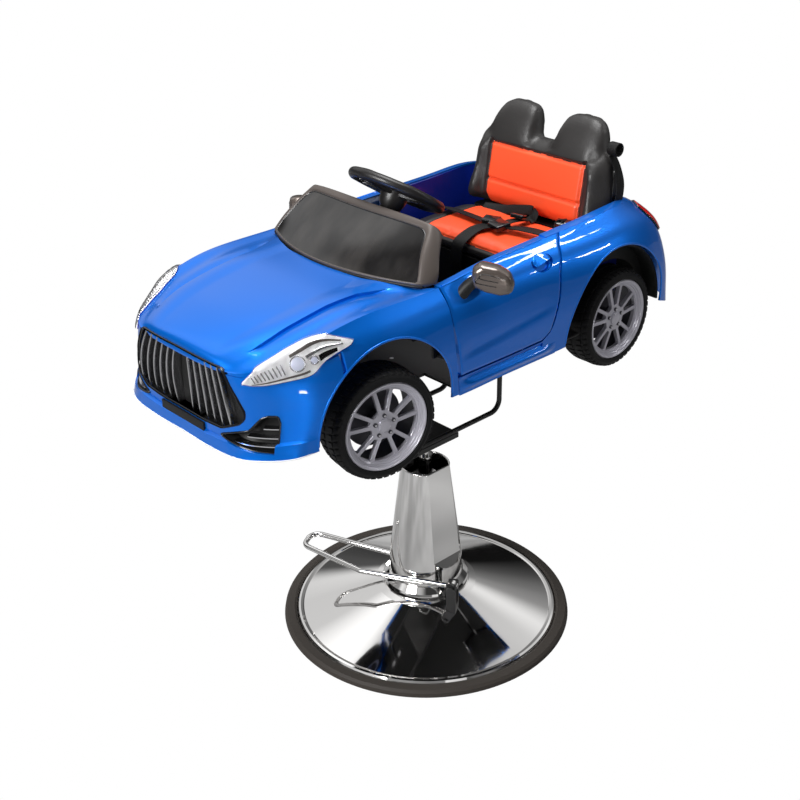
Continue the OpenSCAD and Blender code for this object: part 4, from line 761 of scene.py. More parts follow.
# The door, fitted between its front, rear and lower edges, with edges that turn in
def doorSkin():
    d = doorPanel
    rows, steps = 44, 90
    lowZ = body["sill"] + skirtTop * body["height"] + seamGap["door"]
    pts = np.zeros((steps, rows, 2))
    top = np.linspace(0, 1, steps)
    for i, u in enumerate(top):
        for j in range(rows):
            w = j / (rows - 1)
            c = mix(d["start"], d["end"], u)
            zTop = sideAt(c, d["topShare"])[2]
            z = mix(lowZ, zTop, w)
            y0 = edgeY(doorFront, z) + seamGap["door"]
            y1 = edgeY(doorRear, z) - seamGap["door"]
            pts[i, j] = (mix(y0, y1, u), z)
    c, t = onSide(pts[..., 0], pts[..., 1])
    outer = sideAt(c, t)
    y, z = pts[..., 0], pts[..., 1]
    line = d["dipZ"] + d["dipSlope"] * (y + 0.15)
    above = np.clip(1 - (z - line) / d["dipAbove"], 0, 1) ** 2
    below = np.clip(1 - (line - z) / d["dipBelow"], 0, 1)
    dip = d["dip"] * np.where(z > line, above, below)
    outer = outer + (dip * ease(-0.165, -0.12, y) * (1 - ease(0.05, 0.105, y)))[..., None] * inward(c)
    edge = np.zeros((steps, rows))
    edge[[0, -1], :] = 1
    edge[:, [0]] = 1
    outer = outer + edge[..., None] * d["turnIn"] * inward(c)
    inner = outer + d["thick"] * inward(c)
    return skin("door", outer, inner, 32)


# A closed outline with each corner rounded to its radius
def roundOutline(points, radii, steps=6):
    points = [np.array(p, float) for p in points]
    n, out = len(points), []
    for i, p in enumerate(points):
        r = radii[i] if hasattr(radii, "__len__") else radii
        a, b = unit(points[i - 1] - p), unit(points[(i + 1) % n] - p)
        half = math.acos(np.clip(np.dot(a, b), -1, 1)) / 2
        if r <= 0 or half > 1.55:
            out.append(p)
            continue
        reach = min(r / math.tan(half), 0.48 * np.linalg.norm(points[i - 1] - p),
                    0.48 * np.linalg.norm(points[(i + 1) % n] - p))
        start, end = p + a * reach, p + b * reach
        for k in range(steps + 1):
            t = k / steps
            out.append((1 - t) ** 2 * start + 2 * t * (1 - t) * p + t * t * end)
    return np.array(out)


# Evenly spaced points round a closed line of points
def resample(loop, count):
    loop = np.asarray(loop, float)
    loop = np.vstack([loop, loop[:1]])
    d = np.concatenate([[0], np.cumsum(np.linalg.norm(np.diff(loop, axis=0), axis=1))])
    u = np.linspace(0, d[-1], count + 1)[:count]
    return np.stack([np.interp(u, d, loop[:, k]) for k in range(loop.shape[1])], 1)


# Geometry nodes: copies of a mesh, each turned and moved a step on from the last
def repeatTree():
    tree = bpy.data.node_groups.new("repeat_steps", "GeometryNodeTree")
    sockets = tree.interface
    sockets.new_socket("Geometry", in_out="INPUT", socket_type="NodeSocketGeometry")
    for name, kind in (("Count", "Int"), ("Turn Step", "Vector"), ("Move Step", "Vector"),
                       ("Material", "Material")):
        sockets.new_socket(name, in_out="INPUT", socket_type="NodeSocket" + kind)
    sockets.new_socket("Geometry", in_out="OUTPUT", socket_type="NodeSocketGeometry")
    make = tree.nodes.new
    given, result = make("NodeGroupInput"), make("NodeGroupOutput")
    points, index = make("GeometryNodePoints"), make("GeometryNodeInputIndex")
    turn, move = make("ShaderNodeVectorMath"), make("ShaderNodeVectorMath")
    turn.operation = move.operation = "SCALE"
    euler, instance = make("FunctionNodeEulerToRotation"), make("GeometryNodeInstanceOnPoints")
    realize, material = make("GeometryNodeRealizeInstances"), make("GeometryNodeSetMaterial")
    wires = [(given.outputs["Count"], points.inputs["Count"]), (given.outputs["Turn Step"], turn.inputs[0]),
             (index.outputs[0], turn.inputs["Scale"]), (given.outputs["Move Step"], move.inputs[0]),
             (index.outputs[0], move.inputs["Scale"]), (move.outputs[0], points.inputs["Position"]),
             (turn.outputs[0], euler.inputs[0]), (euler.outputs[0], instance.inputs["Rotation"]),
             (points.outputs[0], instance.inputs["Points"]),
             (given.outputs["Geometry"], instance.inputs["Instance"]),
             (instance.outputs[0], realize.inputs[0]), (realize.outputs[0], material.inputs["Geometry"]),
             (given.outputs["Material"], material.inputs["Material"]),
             (material.outputs[0], result.inputs[0])]
    wire(tree, wires)
    return tree


repeatSteps = repeatTree()


def repeat(obj, count, material, turn=(0, 0, 0), move=(0, 0, 0)):
    mod = obj.modifiers.new("repeat", "NODES")
    mod.node_group = repeatSteps
    values = {"Count": count, "Turn Step": turn, "Move Step": move, "Material": material}
    for item in repeatSteps.interface.items_tree:
        if item.in_out == "INPUT" and item.name in values:
            mod[item.identifier] = values[item.name]
    obj.update_tag()
    bake(obj)
    return shade(obj, 40)


# Cloth values of the cushions, and the most that a point may swell out in metres
cushion = {"voxel": 0.0045, "mass": 0.3, "stretch": 18, "shear": 8, "bend": 2.5, "pressure": 4.0,
           "frames": 20, "swellMost": 0.0055}


def inflate(obj):
    m = obj.modifiers.new("remesh", "REMESH")
    m.mode, m.voxel_size = "VOXEL", cushion["voxel"]
    bake(obj)
    rest = np.array([v.co[:] for v in obj.data.vertices])
    cloth = obj.modifiers.new("cloth", "CLOTH")
    s = cloth.settings
    s.quality = 6
    s.mass = cushion["mass"]
    s.tension_stiffness = s.compression_stiffness = cushion["stretch"]
    s.shear_stiffness, s.bending_stiffness = cushion["shear"], cushion["bend"]
    s.use_pressure, s.uniform_pressure_force = True, cushion["pressure"]
    s.effector_weights.gravity = 0
    cloth.point_cache.frame_start, cloth.point_cache.frame_end = 1, cushion["frames"]
    for f in range(1, cushion["frames"] + 1):
        bpy.context.scene.frame_set(f)
    graph = bpy.context.evaluated_depsgraph_get()
    moved = np.array([v.co[:] for v in obj.evaluated_get(graph).data.vertices])
    obj.modifiers.clear()
    bpy.context.scene.frame_set(1)
    step = moved - rest
    size = np.linalg.norm(step, axis=1, keepdims=True)
    step *= np.minimum(1, cushion["swellMost"] / np.maximum(size, 1e-9))
    obj.data.vertices.foreach_set("co", (rest + step).ravel())
    obj.data.update()
    return shade(obj, 60)


# Headlights, tail lights, grille and intakes

# A panel laid on the left side between an upper and a lower edge, given as height shares
def patchOnSide(name, upper, lower, c0, c1, lift, thick, crown):
    steps, rows = 60, 14
    u = np.linspace(0, 1, steps)
    c = mix(c0, c1, u)
    hi, lo = along(upper, u), along(lower, u)
    w = np.linspace(0, 1, rows)
    cc = np.broadcast_to(c[:, None], (steps, rows))
    tt = lo[:, None] + (hi - lo)[:, None] * w[None, :]
    p, n = sideAt(cc, tt), sideNormal(cc, tt)
    edge = np.minimum(1, 6 * np.minimum(np.minimum(u, 1 - u)[:, None], np.minimum(w, 1 - w)[None, :] * 0.8)
                      + 0.1)
    bulge = crown * np.sqrt(np.clip(edge, 0, 1))[..., None]
    outer = p + (lift + bulge) * n
    inner = p + (lift - thick) * n
    return skin(name, outer, inner, 40)


# Lamp edges as (column, height share) points; a share over 1 lies on the hood, in from its edge
headlight = {"upper": [(2.60, 0.80), (3.10, 1.015), (3.80, 1.075), (4.50, 1.095), (5.15, 1.05), (5.69, 0.80)],
             "lower": [(2.66, 0.775), (3.40, 0.69), (4.10, 0.655), (4.72, 0.65), (5.10, 0.73), (5.62, 0.765)],
             "projectorRadius": 0.0125, "ribs": 9, "ribStart": 0.13, "ribStep": 0.031, "ribWide": 0.009}

# Plates in the lamp: name, span along it and up it, height out, thickness, steps, rows, crown, material
lampPlates = [("lamp_dark", 0.74, 0.90, 0.10, 0.30, 0.0022, 0.001, 24, 6, 0.0, "smoke"),
              ("lamp_band", 0.48, 0.93, 0.70, 0.79, 0.0022, 0.001, 30, 4, 0.0, "frame"),
              ("lamp_bar", 0.62, 0.94, 0.42, 0.52, 0.0028, 0.0015, 30, 5, 0.0006, "silver"),
              ("lamp_rim", 0.10, 0.60, 0.07, 0.12, 0.0024, 0.001, 30, 4, 0.0, "frame")]

# Round lamps: place along the lamp and up it, and size against projectorRadius
lampEyes = [(0.52, 0.40, 0.95), (0.68, 0.26, 0.5)]


def shoulderAt(c, t):
    c, t = np.broadcast_arrays(np.asarray(c, float), np.asarray(t, float))
    low = sideAt(c, np.minimum(t, 1))
    high = hoodAt(np.clip((c - cornerCol) / (hingeCol - cornerCol), 0, 1), 1 - np.maximum(t - 1, 0))
    return np.where((t > 1)[..., None], high, low)


def shoulderNormal(c, t):
    e = 0.02
    c, t = np.broadcast_arrays(np.asarray(c, float), np.asarray(t, float))
    return unit(np.cross(shoulderAt(c + e, t) - shoulderAt(c - e, t),
                         shoulderAt(c, t + e) - shoulderAt(c, t - e)))


# u along the lamp from its tip, w from its lower to its upper edge
def lampPoint(u, w):
    lo, hi = along(headlight["lower"], u), along(headlight["upper"], u)
    return mix(lo, hi, np.asarray(w, float)[..., None])


def lampPatch(name, u0, u1, w0, w1, lift, thick, steps=60, rows=16, crown=0.0):
    u, w = np.meshgrid(np.linspace(u0, u1, steps), np.linspace(w0, w1, rows), indexing="ij")
    ct = lampPoint(u, w)
    p, n = shoulderAt(ct[..., 0], ct[..., 1]), shoulderNormal(ct[..., 0], ct[..., 1])
    inFromEnds = np.minimum(u - u0, u1 - u) / (u1 - u0)
    inFromSides = np.minimum(w - w0, w1 - w) / (w1 - w0)
    edge = np.clip(7 * np.minimum(inFromEnds, inFromSides) + 0.02, 0, 1)
    outer = p + (lift + crown * np.sqrt(edge))[..., None] * n
    return skin(name, outer, p + (lift - thick) * n, 40)


def lampRing(name, u, w, radius, lift, tube):
    turn = np.linspace(0, 2 * math.pi, 40, endpoint=False)
    ct = lampPoint(np.array(u), np.array(w))
    mid, n = shoulderAt(*ct), shoulderNormal(*ct)
    a = unit(np.cross(n, (0, 0, 1)))
    b = np.cross(n, a)
    path = [mid + lift * n + radius * (math.cos(v) * a + math.sin(v) * b) for v in turn]
    return sweep(name, path, tube, 8, closed=True), mid, n


def makeHeadlight():
    bowl = paint(lampPatch("lamp_bowl", 0.0, 1.0, 0.0, 1.0, 0.0014, 0.002), materials["reflector"])
    u = np.linspace(0, 1, 70)
    loop = np.concatenate([lampPoint(u, np.zeros(70)), lampPoint(u, np.ones(70))[::-1]])
    loop = resample(loop, 170)
    p = shoulderAt(loop[:, 0], loop[:, 1]) + 0.0006 * shoulderNormal(loop[:, 0], loop[:, 1])
    parts = [bowl, paint(sweep("lamp_edge", p, 0.0009, 8, closed=True), materials["deepBlue"])]
    parts += [paint(lampPatch(*row[:-1]), materials[row[-1]]) for row in lampPlates]
    for u0, w0, r in lampEyes:
        radius = headlight["projectorRadius"] * r
        ring, mid, n = lampRing("lamp_ring", u0, w0, radius, 0.0026, 0.0010)
        eye = sweep("lamp_eye", [mid - 0.002 * n, mid + 0.0026 * n, mid + 0.0038 * n],
                    [radius * 0.9, radius * 0.86, radius * 0.45], 40)
        parts += [paint(ring, materials["silver"]), paint(eye, materials["bulb"])]
    for i in range(headlight["ribs"]):
        a = headlight["ribStart"] + headlight["ribStep"] * i
        end = a + headlight["ribWide"]
        rib = lampPatch("lamp_rib", a, end, 0.20, 0.72 - 0.01 * i, 0.0030, 0.002, 4, 6, 0.0003)
        parts.append(paint(rib, materials["silver"]))
    glass = lampPatch("headlight_glass_left", 0.004, 0.996, 0.01, 0.99, 0.0048, 0.0008, 60, 16, 0.0010)
    return join("headlight_left", parts), glass


tailLight = {"start": 12.35, "end": 13.7, "upper": [0.90, 0.96, 0.97, 0.965, 0.94],
             "lower": [0.76, 0.62, 0.58, 0.60, 0.66], "lift": 0.0042, "thick": 0.0035, "crown": 0.0012}


def makeTailLight():
    s = tailLight
    lens = patchOnSide("tail_light_left", s["upper"], s["lower"], s["start"], s["end"], s["lift"],
                       s["thick"], s["crown"])
    paint(lens, materials["red"])
    u = np.linspace(0, 1, 40)
    c = mix(s["start"], s["end"], u)
    over, under = np.stack([c, along(s["upper"], u)], 1), np.stack([c, along(s["lower"], u)], 1)
    loop = np.concatenate([over, under[::-1]])
    loop = resample(loop, 110)
    p = sideAt(loop[:, 0], loop[:, 1]) + 0.0016 * sideNormal(loop[:, 0], loop[:, 1])
    edge = paint(sweep("tail_edge", p, 0.0018, 8, closed=True), materials["gloss"])
    return join("tail_light_left", [lens, edge])


grille = {"slatsEachSide": 6, "slatBow": 0.010, "slatSpread": 0.128, "slatTop": 0.786, "rimRadius": 0.0020,
          "foot": ([0, 0.05, 0.1025, 0.139], [0.6815, 0.6816, 0.684, 0.7005])}
slatSection = [(-0.0012, -0.008), (0.0012, -0.008), (0.0019, 0.0055), (0.0013, 0.0072), (-0.0013, 0.0072),
               (-0.0019, 0.0055)]


def makeGrille():
    hw, h, z0 = body["halfWidth"], body["height"], body["sill"]
    outline = np.array([(x * hw, z * h + z0) for x, z in grilleOutline])
    outline = roundOutline(outline, 0.010, 6)
    y = -body["nose"] + 0.010
    low = outline.copy()
    low[:, 1] = np.where(low[:, 1] < 0.73, low[:, 1] - 0.018, low[:, 1])
    back = prism("grille_back", low * np.array([0.99, 1]), 1, y + 0.0165, y + 0.021)
    paint(back, materials["trim"])
    loop = resample(outline, 160)
    gridC, gridT = np.meshgrid(np.linspace(0, 3.2, 160), np.linspace(0, 1, 90))
    skinPts = sideAt(gridC.ravel(), gridT.ravel())
    near = [int(np.argmin((skinPts[:, 0] - abs(q[0])) ** 2 + (skinPts[:, 2] - q[1]) ** 2)) for q in loop]
    depth = skinPts[near, 1]
    for _ in range(3):
        depth = (np.roll(depth, 1) + depth + np.roll(depth, -1)) / 3
    path = np.stack([loop[:, 0], depth - 0.0025, loop[:, 1]], 1)
    rim = paint(sweep("grille_rim", path + np.array([0, 0.0035, 0]), grille["rimRadius"], 10, closed=True),
                materials["gloss"])
    deep = np.stack([path[:, 0], np.full(160, y + 0.0175), path[:, 2]], 1)
    wider = np.array([1.012, 1, 1])
    wall = skin("grille_wall", np.stack([path, deep], 1)[::-1],
                np.stack([path * wider, deep * wider], 1)[::-1], 30)
    parts = [back, rim, paint(normalsOut(wall), materials["trim"])]
    n = grille["slatsEachSide"]
    for i in range(-n, n + 1):
        if i == 0:
            continue
        s = i / (n + 0.6)
        x0 = s * grille["slatSpread"]
        foot = np.interp(abs(x0) * 1.06, *grille["foot"]) + 0.002
        zz = np.linspace(foot, grille["slatTop"], 18)
        w = (zz - foot) / (grille["slatTop"] - foot)
        x = x0 * (1.06 - 0.22 * w) + np.sign(i) * grille["slatBow"] * (w * (1 - w)) * 2.2
        path = np.stack([x, np.full(18, y + 0.0068) + 0.004 * (2 * w - 1) ** 2, zz], 1)
        slat = sweep("slat", path, 1, profile=slatSection, ups=[(0, -1, 0)] * 18, smooth=30)
        parts.append(paint(slat, materials["silver"]))
    return join("grille_set", parts)


# Fins of the intake as (height, where it starts); all end at finEnd
intake = {"fins": [(0.668, 0.120), (0.682, 0.145), (0.697, 0.168)], "finEnd": 0.186, "finIn": 0.009,
          "lowZ": 0.648, "tall": 0.21, "depth": 0.020, "middle": (0.150, 0.684),
          "finSection": [(-0.006, -0.0009), (0.006, -0.0009), (0.006, 0.0009), (-0.006, 0.0009)]}


def makeIntake():
    hw, h, z0 = body["halfWidth"], body["height"], body["sill"]
    outline = np.array([(x * hw, z * h + z0) for x, z in intakeShares])
    outline = roundOutline(outline, 0.004, 4)
    loop = resample(outline, 130)
    c = np.interp(loop[:, 0], midLine[:6, 0], np.arange(6.0))
    t = np.full(len(loop), 0.2)
    for _ in range(20):
        p = sideAt(c, t)
        e = 0.01
        pc, pt = (sideAt(c + e, t) - p) / e, (sideAt(c, t + e) - p) / e
        rx, rz = loop[:, 0] - p[:, 0], loop[:, 1] - p[:, 2]
        det = pc[:, 0] * pt[:, 2] - pt[:, 0] * pc[:, 2]
        c = np.clip(c + np.clip((rx * pt[:, 2] - rz * pt[:, 0]) / det, -0.5, 0.5), 0.5, 5.4)
        t = np.clip(t + np.clip((pc[:, 0] * rz - pc[:, 2] * rx) / det, -0.2, 0.2), -0.05, 1)
    front = sideAt(c, t)
    n = sideNormal(c, t)
    back = front.copy()
    back[:, 1] += intake["depth"]
    back[:, 0] = mix(back[:, 0], intake["middle"][0], 0.12)
    back[:, 2] = mix(back[:, 2], intake["middle"][1], 0.12)
    count = len(loop)
    verts = np.vstack([front + 0.0002 * n, back, back.mean(0)[None]])
    faces = [(j, (j + 1) % count, count + (j + 1) % count, count + j) for j in range(count)]
    faces += [(count + j, count + (j + 1) % count, 2 * count) for j in range(count)]
    pocket = paint(meshObject("intake_pocket", verts, faces, 30), materials["trim"])
    edge = paint(sweep("intake_edge", front + 0.0004 * n, 0.0016, 8, closed=True), materials["gloss"])
    parts = [pocket, edge]
    for z, start in intake["fins"]:
        xs = np.linspace(start, intake["finEnd"], 12)
        cc = np.interp(xs, midLine[:6, 0], np.arange(6.0))
        pts = sideAt(cc, np.full(12, (z - intake["lowZ"]) / intake["tall"]))
        pts[:, 2] = z
        pts[:, 1] += intake["finIn"]
        fin = sweep("fin", pts, 1, profile=intake["finSection"], ups=[(0, 0, 1)] * 12, smooth=30)
        parts.append(paint(fin, materials["silver"]))
    return join("intake_left", parts)


# Wheels, in their own frame: axle along X, outer face at x = 0

wheel = {"tyreRadius": 0.0975, "tyreWidth": 0.070, "blocks": 46, "rimRadius": 0.079, "faceBack": 0.011,
         "spokePairs": 5, "spokeHalf": 0.0026, "pairAngle": 14.4, "nutCircle": 0.0185, "nuts": 5}


def tyreProfile(radius, width, bead):
    side = [(bead, -0.004), (bead + 0.0015, -0.0012), (bead + 0.006, 0.0), (radius - 0.0085, -0.0006),
            (radius - 0.0035, -0.0045), (radius - 0.0012, -0.0095), (radius - 0.0004, -0.016)]
    other = [(r, -width - x) for r, x in side[::-1]]
    return side + [(radius, -width / 2)] + other


# Rows of tread blocks: from and to across the tyre, share of a step turned on, and height at the shoulders
treadRows = [(-0.0130, -0.0035, 0.0, -0.0020), (-0.0300, -0.0160, 0.5, 0), (-0.0540, -0.0400, 0.0, 0),
             (-0.0665, -0.0570, 0.5, -0.0020)]


def makeTyre():
    w = wheel
    carcass = lathe("tyre", tyreProfile(w["tyreRadius"] - 0.0014, w["tyreWidth"], w["rimRadius"]), "x", 144)
    paint(carcass, materials["tyre"])
    parts = [carcass]
    step = 2 * math.pi / w["blocks"]
    rad = w["tyreRadius"]
    for x0, x1, off, tall in treadRows:
        wide = step * rad * 0.36
        blockObj = block("tread", (x0, -wide, rad - 0.0040 + tall * 0.6), (x1, wide, rad + tall * 0.35),
                         0.0006, 1)
        for v in blockObj.data.vertices:
            v.co.y += (v.co.x - x0) * 0.25
            if tall:
                edgeShare = (v.co.x - x0) / (x1 - x0) if x0 > -0.03 else (x1 - v.co.x) / (x1 - x0)
                v.co.z -= 0.0026 * max(0, edgeShare) ** 1.5
        blockObj.data.transform(Matrix.Rotation(off * step, 4, "X"))
        parts.append(repeat(blockObj, w["blocks"], materials["tyre"], turn=(step, 0, 0)))
    return join("tyre_form", parts)


# A window between two spokes, as (across, out) points about the window's middle line
def windowOutline(half, inner, outer, spokeHalf):
    s, c = math.sin(half), math.cos(half)

    def edgePoint(r):
        reach = math.sqrt(r * r - spokeHalf * spokeHalf)
        return (s * reach - c * spokeHalf, c * reach + s * spokeHalf)

    a, b = edgePoint(inner), edgePoint(outer)
    arc = [(outer * math.sin(v), outer * math.cos(v))
           for v in np.linspace(math.atan2(b[0], b[1]), -math.atan2(b[0], b[1]), 7)]
    pts = [a] + arc + [(-a[0], a[1])]
    radii = [0.0042, 0.0032] + [0] * 5 + [0.0032, 0.0042]
    return roundOutline(pts, radii, 6)


def makeRim():
    w = wheel
    r = w["rimRadius"]
    lipParts = [(r, -0.066), (r, -0.004), (r - 0.0018, -0.0016), (r - 0.0038, -0.0018), (r - 0.0048, -0.0036),
                (r - 0.0066, -0.0046), (r - 0.0074, -0.0070), (r - 0.0092, -0.0080), (r - 0.0100, -0.0105),
                (r - 0.0120, -0.0120), (r - 0.0125, -0.0215), (r - 0.0085, -0.0250), (r - 0.0080, -0.066)]
    barrel = paint(lathe("barrel", lipParts, "x", 128, smooth=32), materials["rim"])
    # The barrel's inside in the dark rim colour: painted shade
    well = [(r - 0.0082, -0.064), (r - 0.0087, -0.0255), (r - 0.0105, -0.0245), (r - 0.0105, -0.0255),
            (r - 0.0098, -0.0262), (r - 0.0095, -0.064)]
    inside = paint(lathe("barrel_inside", well, "x", 96), materials["rimPaintedShade"])
    # A dark disc behind the spoke windows, seen through them: painted shade
    discSection = [(0.012, -0.046), (0.052, -0.046), (0.052, -0.050), (0.012, -0.050)]
    backDisc = paint(lathe("shade_back_disc", discSection, "x", 64), materials["rimPaintedShade"])
    rings, seg = 26, 200
    rad = np.linspace(0.006, r - 0.0110, rings)
    turn = np.linspace(0, 2 * math.pi, seg, endpoint=False)
    verts = []
    for x in (-w["faceBack"], -w["faceBack"] - 0.0085):
        for q in rad:
            verts += [(x, q * math.sin(a), q * math.cos(a)) for a in turn]
    n = rings * seg
    faces = grid(rings, seg, closed=True) + grid(rings, seg, n, closed=True, flip=True)
    faces += [(j, n + j, n + (j + 1) % seg, (j + 1) % seg) for j in range(seg)]
    k = (rings - 1) * seg
    faces += [(k + j, k + (j + 1) % seg, n + k + (j + 1) % seg, n + k + j) for j in range(seg)]
    disc = meshObject("spokes", verts, faces)
    normalsOut(disc)
    tools, beads = [], []
    pair = math.radians(w["pairAngle"])
    full = math.pi / w["spokePairs"]
    for half, offset in ((pair, 0.0), (full - pair, full)):
        outline = windowOutline(half, 0.0245 if offset else 0.0275, r - 0.0140, w["spokeHalf"])
        for i in range(w["spokePairs"]):
            a = 2 * full * i + offset
            turned = np.stack([outline[:, 0] * math.cos(a) + outline[:, 1] * math.sin(a),
                               -outline[:, 0] * math.sin(a) + outline[:, 1] * math.cos(a)], 1)
            tools.append(prism("window", turned, 0, -0.03, 0.0))
            loop = resample(turned, 70)
            path = np.stack([np.full(70, -w["faceBack"] - 0.0004), loop[:, 0], loop[:, 1]], 1)
            beads.append(paint(sweep("bead", path, 0.0009, 6, closed=True), materials["rim"]))
    cut(disc, [join("windows", tools)], smooth=40)
    paint(disc, materials["rim"])
    parts = [disc] + beads
    dished = join("spoke_face", parts)
    for v in dished.data.vertices:
        q = math.hypot(v.co.y, v.co.z)
        v.co.x -= 0.0030 * math.sin(min(1, q / (r - 0.011)) * math.pi * 0.5) - 0.0012
    shade(dished, 40)
    nutParts = []
    for i in range(w["nuts"]):
        a = 2 * full * i
        y, z = w["nutCircle"] * math.sin(a), w["nutCircle"] * math.cos(a)
        # Each nut sits in a dark ring: painted shade in its recess
        cup = sweep("nut_cup", [(-0.0118, y, z), (-0.0093, y, z)], 0.0036, 24)
        hexagon = sweep("nut", [(-0.0118, y, z), (-0.0080, y, z)], 0.0022, 6, smooth=20)
        nutParts += [paint(cup, materials["rimPaintedShade"]), paint(hexagon, materials["silver"])]
    # The hub's back in the dark rim colour: painted shade
    hubSection = [(0.007, -0.018), (0.024, -0.018), (0.022, -0.026), (0.013, -0.030), (0.013, -0.064),
                  (0.007, -0.064)]
    hub = paint(lathe("hub_back", hubSection, "x", 64), materials["rimPaintedShade"])
    return join("rim_form", [barrel, inside, backDisc, dished, hub] + nutParts)


def makeCap():
    profile = [(0.0, -0.0062), (0.006, -0.0064), (0.0098, -0.0070), (0.0106, -0.0078), (0.0112, -0.0074),
               (0.0126, -0.0080), (0.0130, -0.0098), (0.0122, -0.0118), (0.0, -0.0118)]
    return paint(lathe("cap_form", profile, "x", 64, smooth=30), materials["rim"])


# Kingpins and axle ends; the front wheels rest steered, as in the photo
axle = {"kingpinX": 0.146, "kingpinY": -0.2985, "out": 0.097, "steer": -10.4, "rearX": 0.238,
        "rearY": 0.290, "z": 0.6485}


def wheelMatrix(side, front):
    flip = Matrix.Diagonal((side, 1, 1, 1))
    if not front:
        return Matrix.Translation((side * axle["rearX"], axle["rearY"], axle["z"])) @ flip
    steer = Matrix.Rotation(math.radians(axle["steer"]), 4, "Z")
    kingpin = Matrix.Translation((side * axle["kingpinX"], axle["kingpinY"], axle["z"]))
    return kingpin @ steer @ Matrix.Translation((side * axle["out"], 0, 0)) @ flip


wheelPlaces = {"front_left": (wheelMatrix(1, True), "wheel_fl"),
               "front_right": (wheelMatrix(-1, True), "wheel_fr"),
               "rear_left": (wheelMatrix(1, False), "wheel_rl"),
               "rear_right": (wheelMatrix(-1, False), "wheel_rr")}


def makeWheels():
    forms = {"tyre": (makeTyre(), "tyre"), "rim": (makeRim(), "rim_silver"), "cap": (makeCap(), "rim_silver")}
    for key, (matrix, rider) in wheelPlaces.items():
        for part, (form, slotName) in forms.items():
            obj = form.copy()
            obj.data = form.data.copy()
            obj.name = "wheel_" + part + "_" + key
            bpy.context.scene.collection.objects.link(obj)
            obj.data.transform(matrix)
            if matrix.determinant() < 0:
                obj.data.flip_normals()
            place(obj, rider, None, [part + "_" + key])
    for form, slotName in forms.values():
        bpy.data.objects.remove(form)
    print("wheels made")


# Windscreen

screen = {"footY": -0.245, "footZ": 0.8491, "footBow": 0.054, "topY": -0.133, "topZ": 0.931, "topBow": 0.008,
          "footHalf": 0.200, "topHalf": 0.157, "thick": 0.0085,
          "outside": [(-1.10, 0.0), (1.10, 0.0), (1.10, 1.0), (-1.10, 1.0)],
          "outsideRounding": [0.06, 0.06, 0.11, 0.11],
          "opening": [(-0.94, 0.035), (0.94, 0.035), (0.925, 0.885), (-0.925, 0.885)],
          "openingRounding": [0.03, 0.03, 0.11, 0.11]}
screenDir = unit([0, screen["topZ"] - screen["footZ"], screen["footY"] - screen["topY"]])


# Point of the windscreen: p across, q up; past its side edges it bends back along the car
def screenAt(p, q):
    p, q = np.broadcast_arrays(np.asarray(p, float), np.asarray(q, float))
    s = screen
    past = np.maximum(np.abs(p) - 0.97, 0)
    p = np.clip(p, -0.97, 0.97) + np.sign(p) * 0.06 * (1 - np.exp(-past / 0.06))
    x = p * mix(s["footHalf"], s["topHalf"], q) * (1 - 0.02 * (2 * q - 1) ** 4)
    y = mix(s["footY"] + s["footBow"] * p * p, s["topY"] + s["topBow"] * p * p, q) - 0.006 * hump(0.5, 0.5, q)
    y = y + 0.19 * past * (1 - 0.55 * q ** 4)
    z = mix(s["footZ"] - 0.003 * p * p, s["topZ"] - 0.006 * p ** 4, q) - 0.06 * past * q ** 4
    return np.stack([x, y, z], -1)


def makeWindscreen():
    outer = resample(roundOutline(screen["outside"], screen["outsideRounding"], 10), 220)
    inner = resample(roundOutline(screen["opening"], screen["openingRounding"], 10), 220)
    start = [np.argmin(np.abs(l[:, 0]) + 10 * (l[:, 1] > 0.5)) for l in (outer, inner)]
    outer, inner = np.roll(outer, -start[0], 0), np.roll(inner, -start[1], 0)
    half = screen["thick"] / 2
    crown = [(s, half * (1 - abs(2 * s - 1) ** 3.0) ** 0.5) for s in np.linspace(0.04, 0.96, 11)]
    section = [(0.0, 0.0)] + crown + [(1.0, 0.0)]
    section += [(s, -0.8 * h) for s, h in section[-2:0:-1]]
    verts, count, n = [], len(outer), len(section)
    for s, h in section:
        pq = mix(outer, inner, s)
        verts.append(screenAt(pq[:, 0], pq[:, 1]) - h * screenDir)
    verts = np.array(verts).transpose(1, 0, 2).reshape(-1, 3)
    faces = grid(count, n, closed=True) + endFaces(count, n, closed=True)
    frameObj = meshObject("windscreen_frame_piece", verts, faces, 60)
    normalsOut(frameObj)
    paint(frameObj, materials["frame"])
    rim = sweep("rebate", screenAt(inner[:, 0], inner[:, 1]) - 0.0005 * screenDir, 0.0016, 8, closed=True)
    paint(rim, materials["gloss"])
    foot = screenAt(np.linspace(-0.985, 0.985, 60), np.zeros(60)) + np.array([0, 0.001, -0.0012])
    gasket = paint(sweep("gasket", foot, 0.0032, 8), materials["trim"])
    place(join("windscreen_surround", [frameObj, rim, gasket]), "car", None,
          ["windscreen_frame"])
    p, q = np.meshgrid(np.linspace(-0.95, 0.95, 40), np.linspace(0.02, 0.895, 20))
    front = screenAt(p, q) - 0.0012 * screenDir
    pane = skin("windscreen_pane", front.transpose(1, 0, 2),
                (front + 0.0024 * screenDir).transpose(1, 0, 2), 40)
    place(pane, "car", materials["smoke"], ["windscreen_panel"])
    print("windscreen made")


# Doors, with handles and mirrors

door = {"handleY": 0.069, "handleZ": 0.8258, "handleLong": 0.0262, "handleTall": 0.0172}

# Rings of the handle's recess and flap, as handleForm takes them; a pair is the height out at top and foot
handleRecess = [(0.80, 0, -0.0095), (0.97, 0, -0.006), (1.0, 0, 0.001), (1.05, 0, 0.012)]
handleFlap = [(0.70, 0.0035, -0.009), (0.82, 0.0030, (-0.004, -0.001)), (0.84, 0.0030, (-0.0012, 0.0022)),
              (0.80, 0.0030, (-0.0002, 0.0034)), (0.55, 0.0030, (0.0006, 0.0040))]

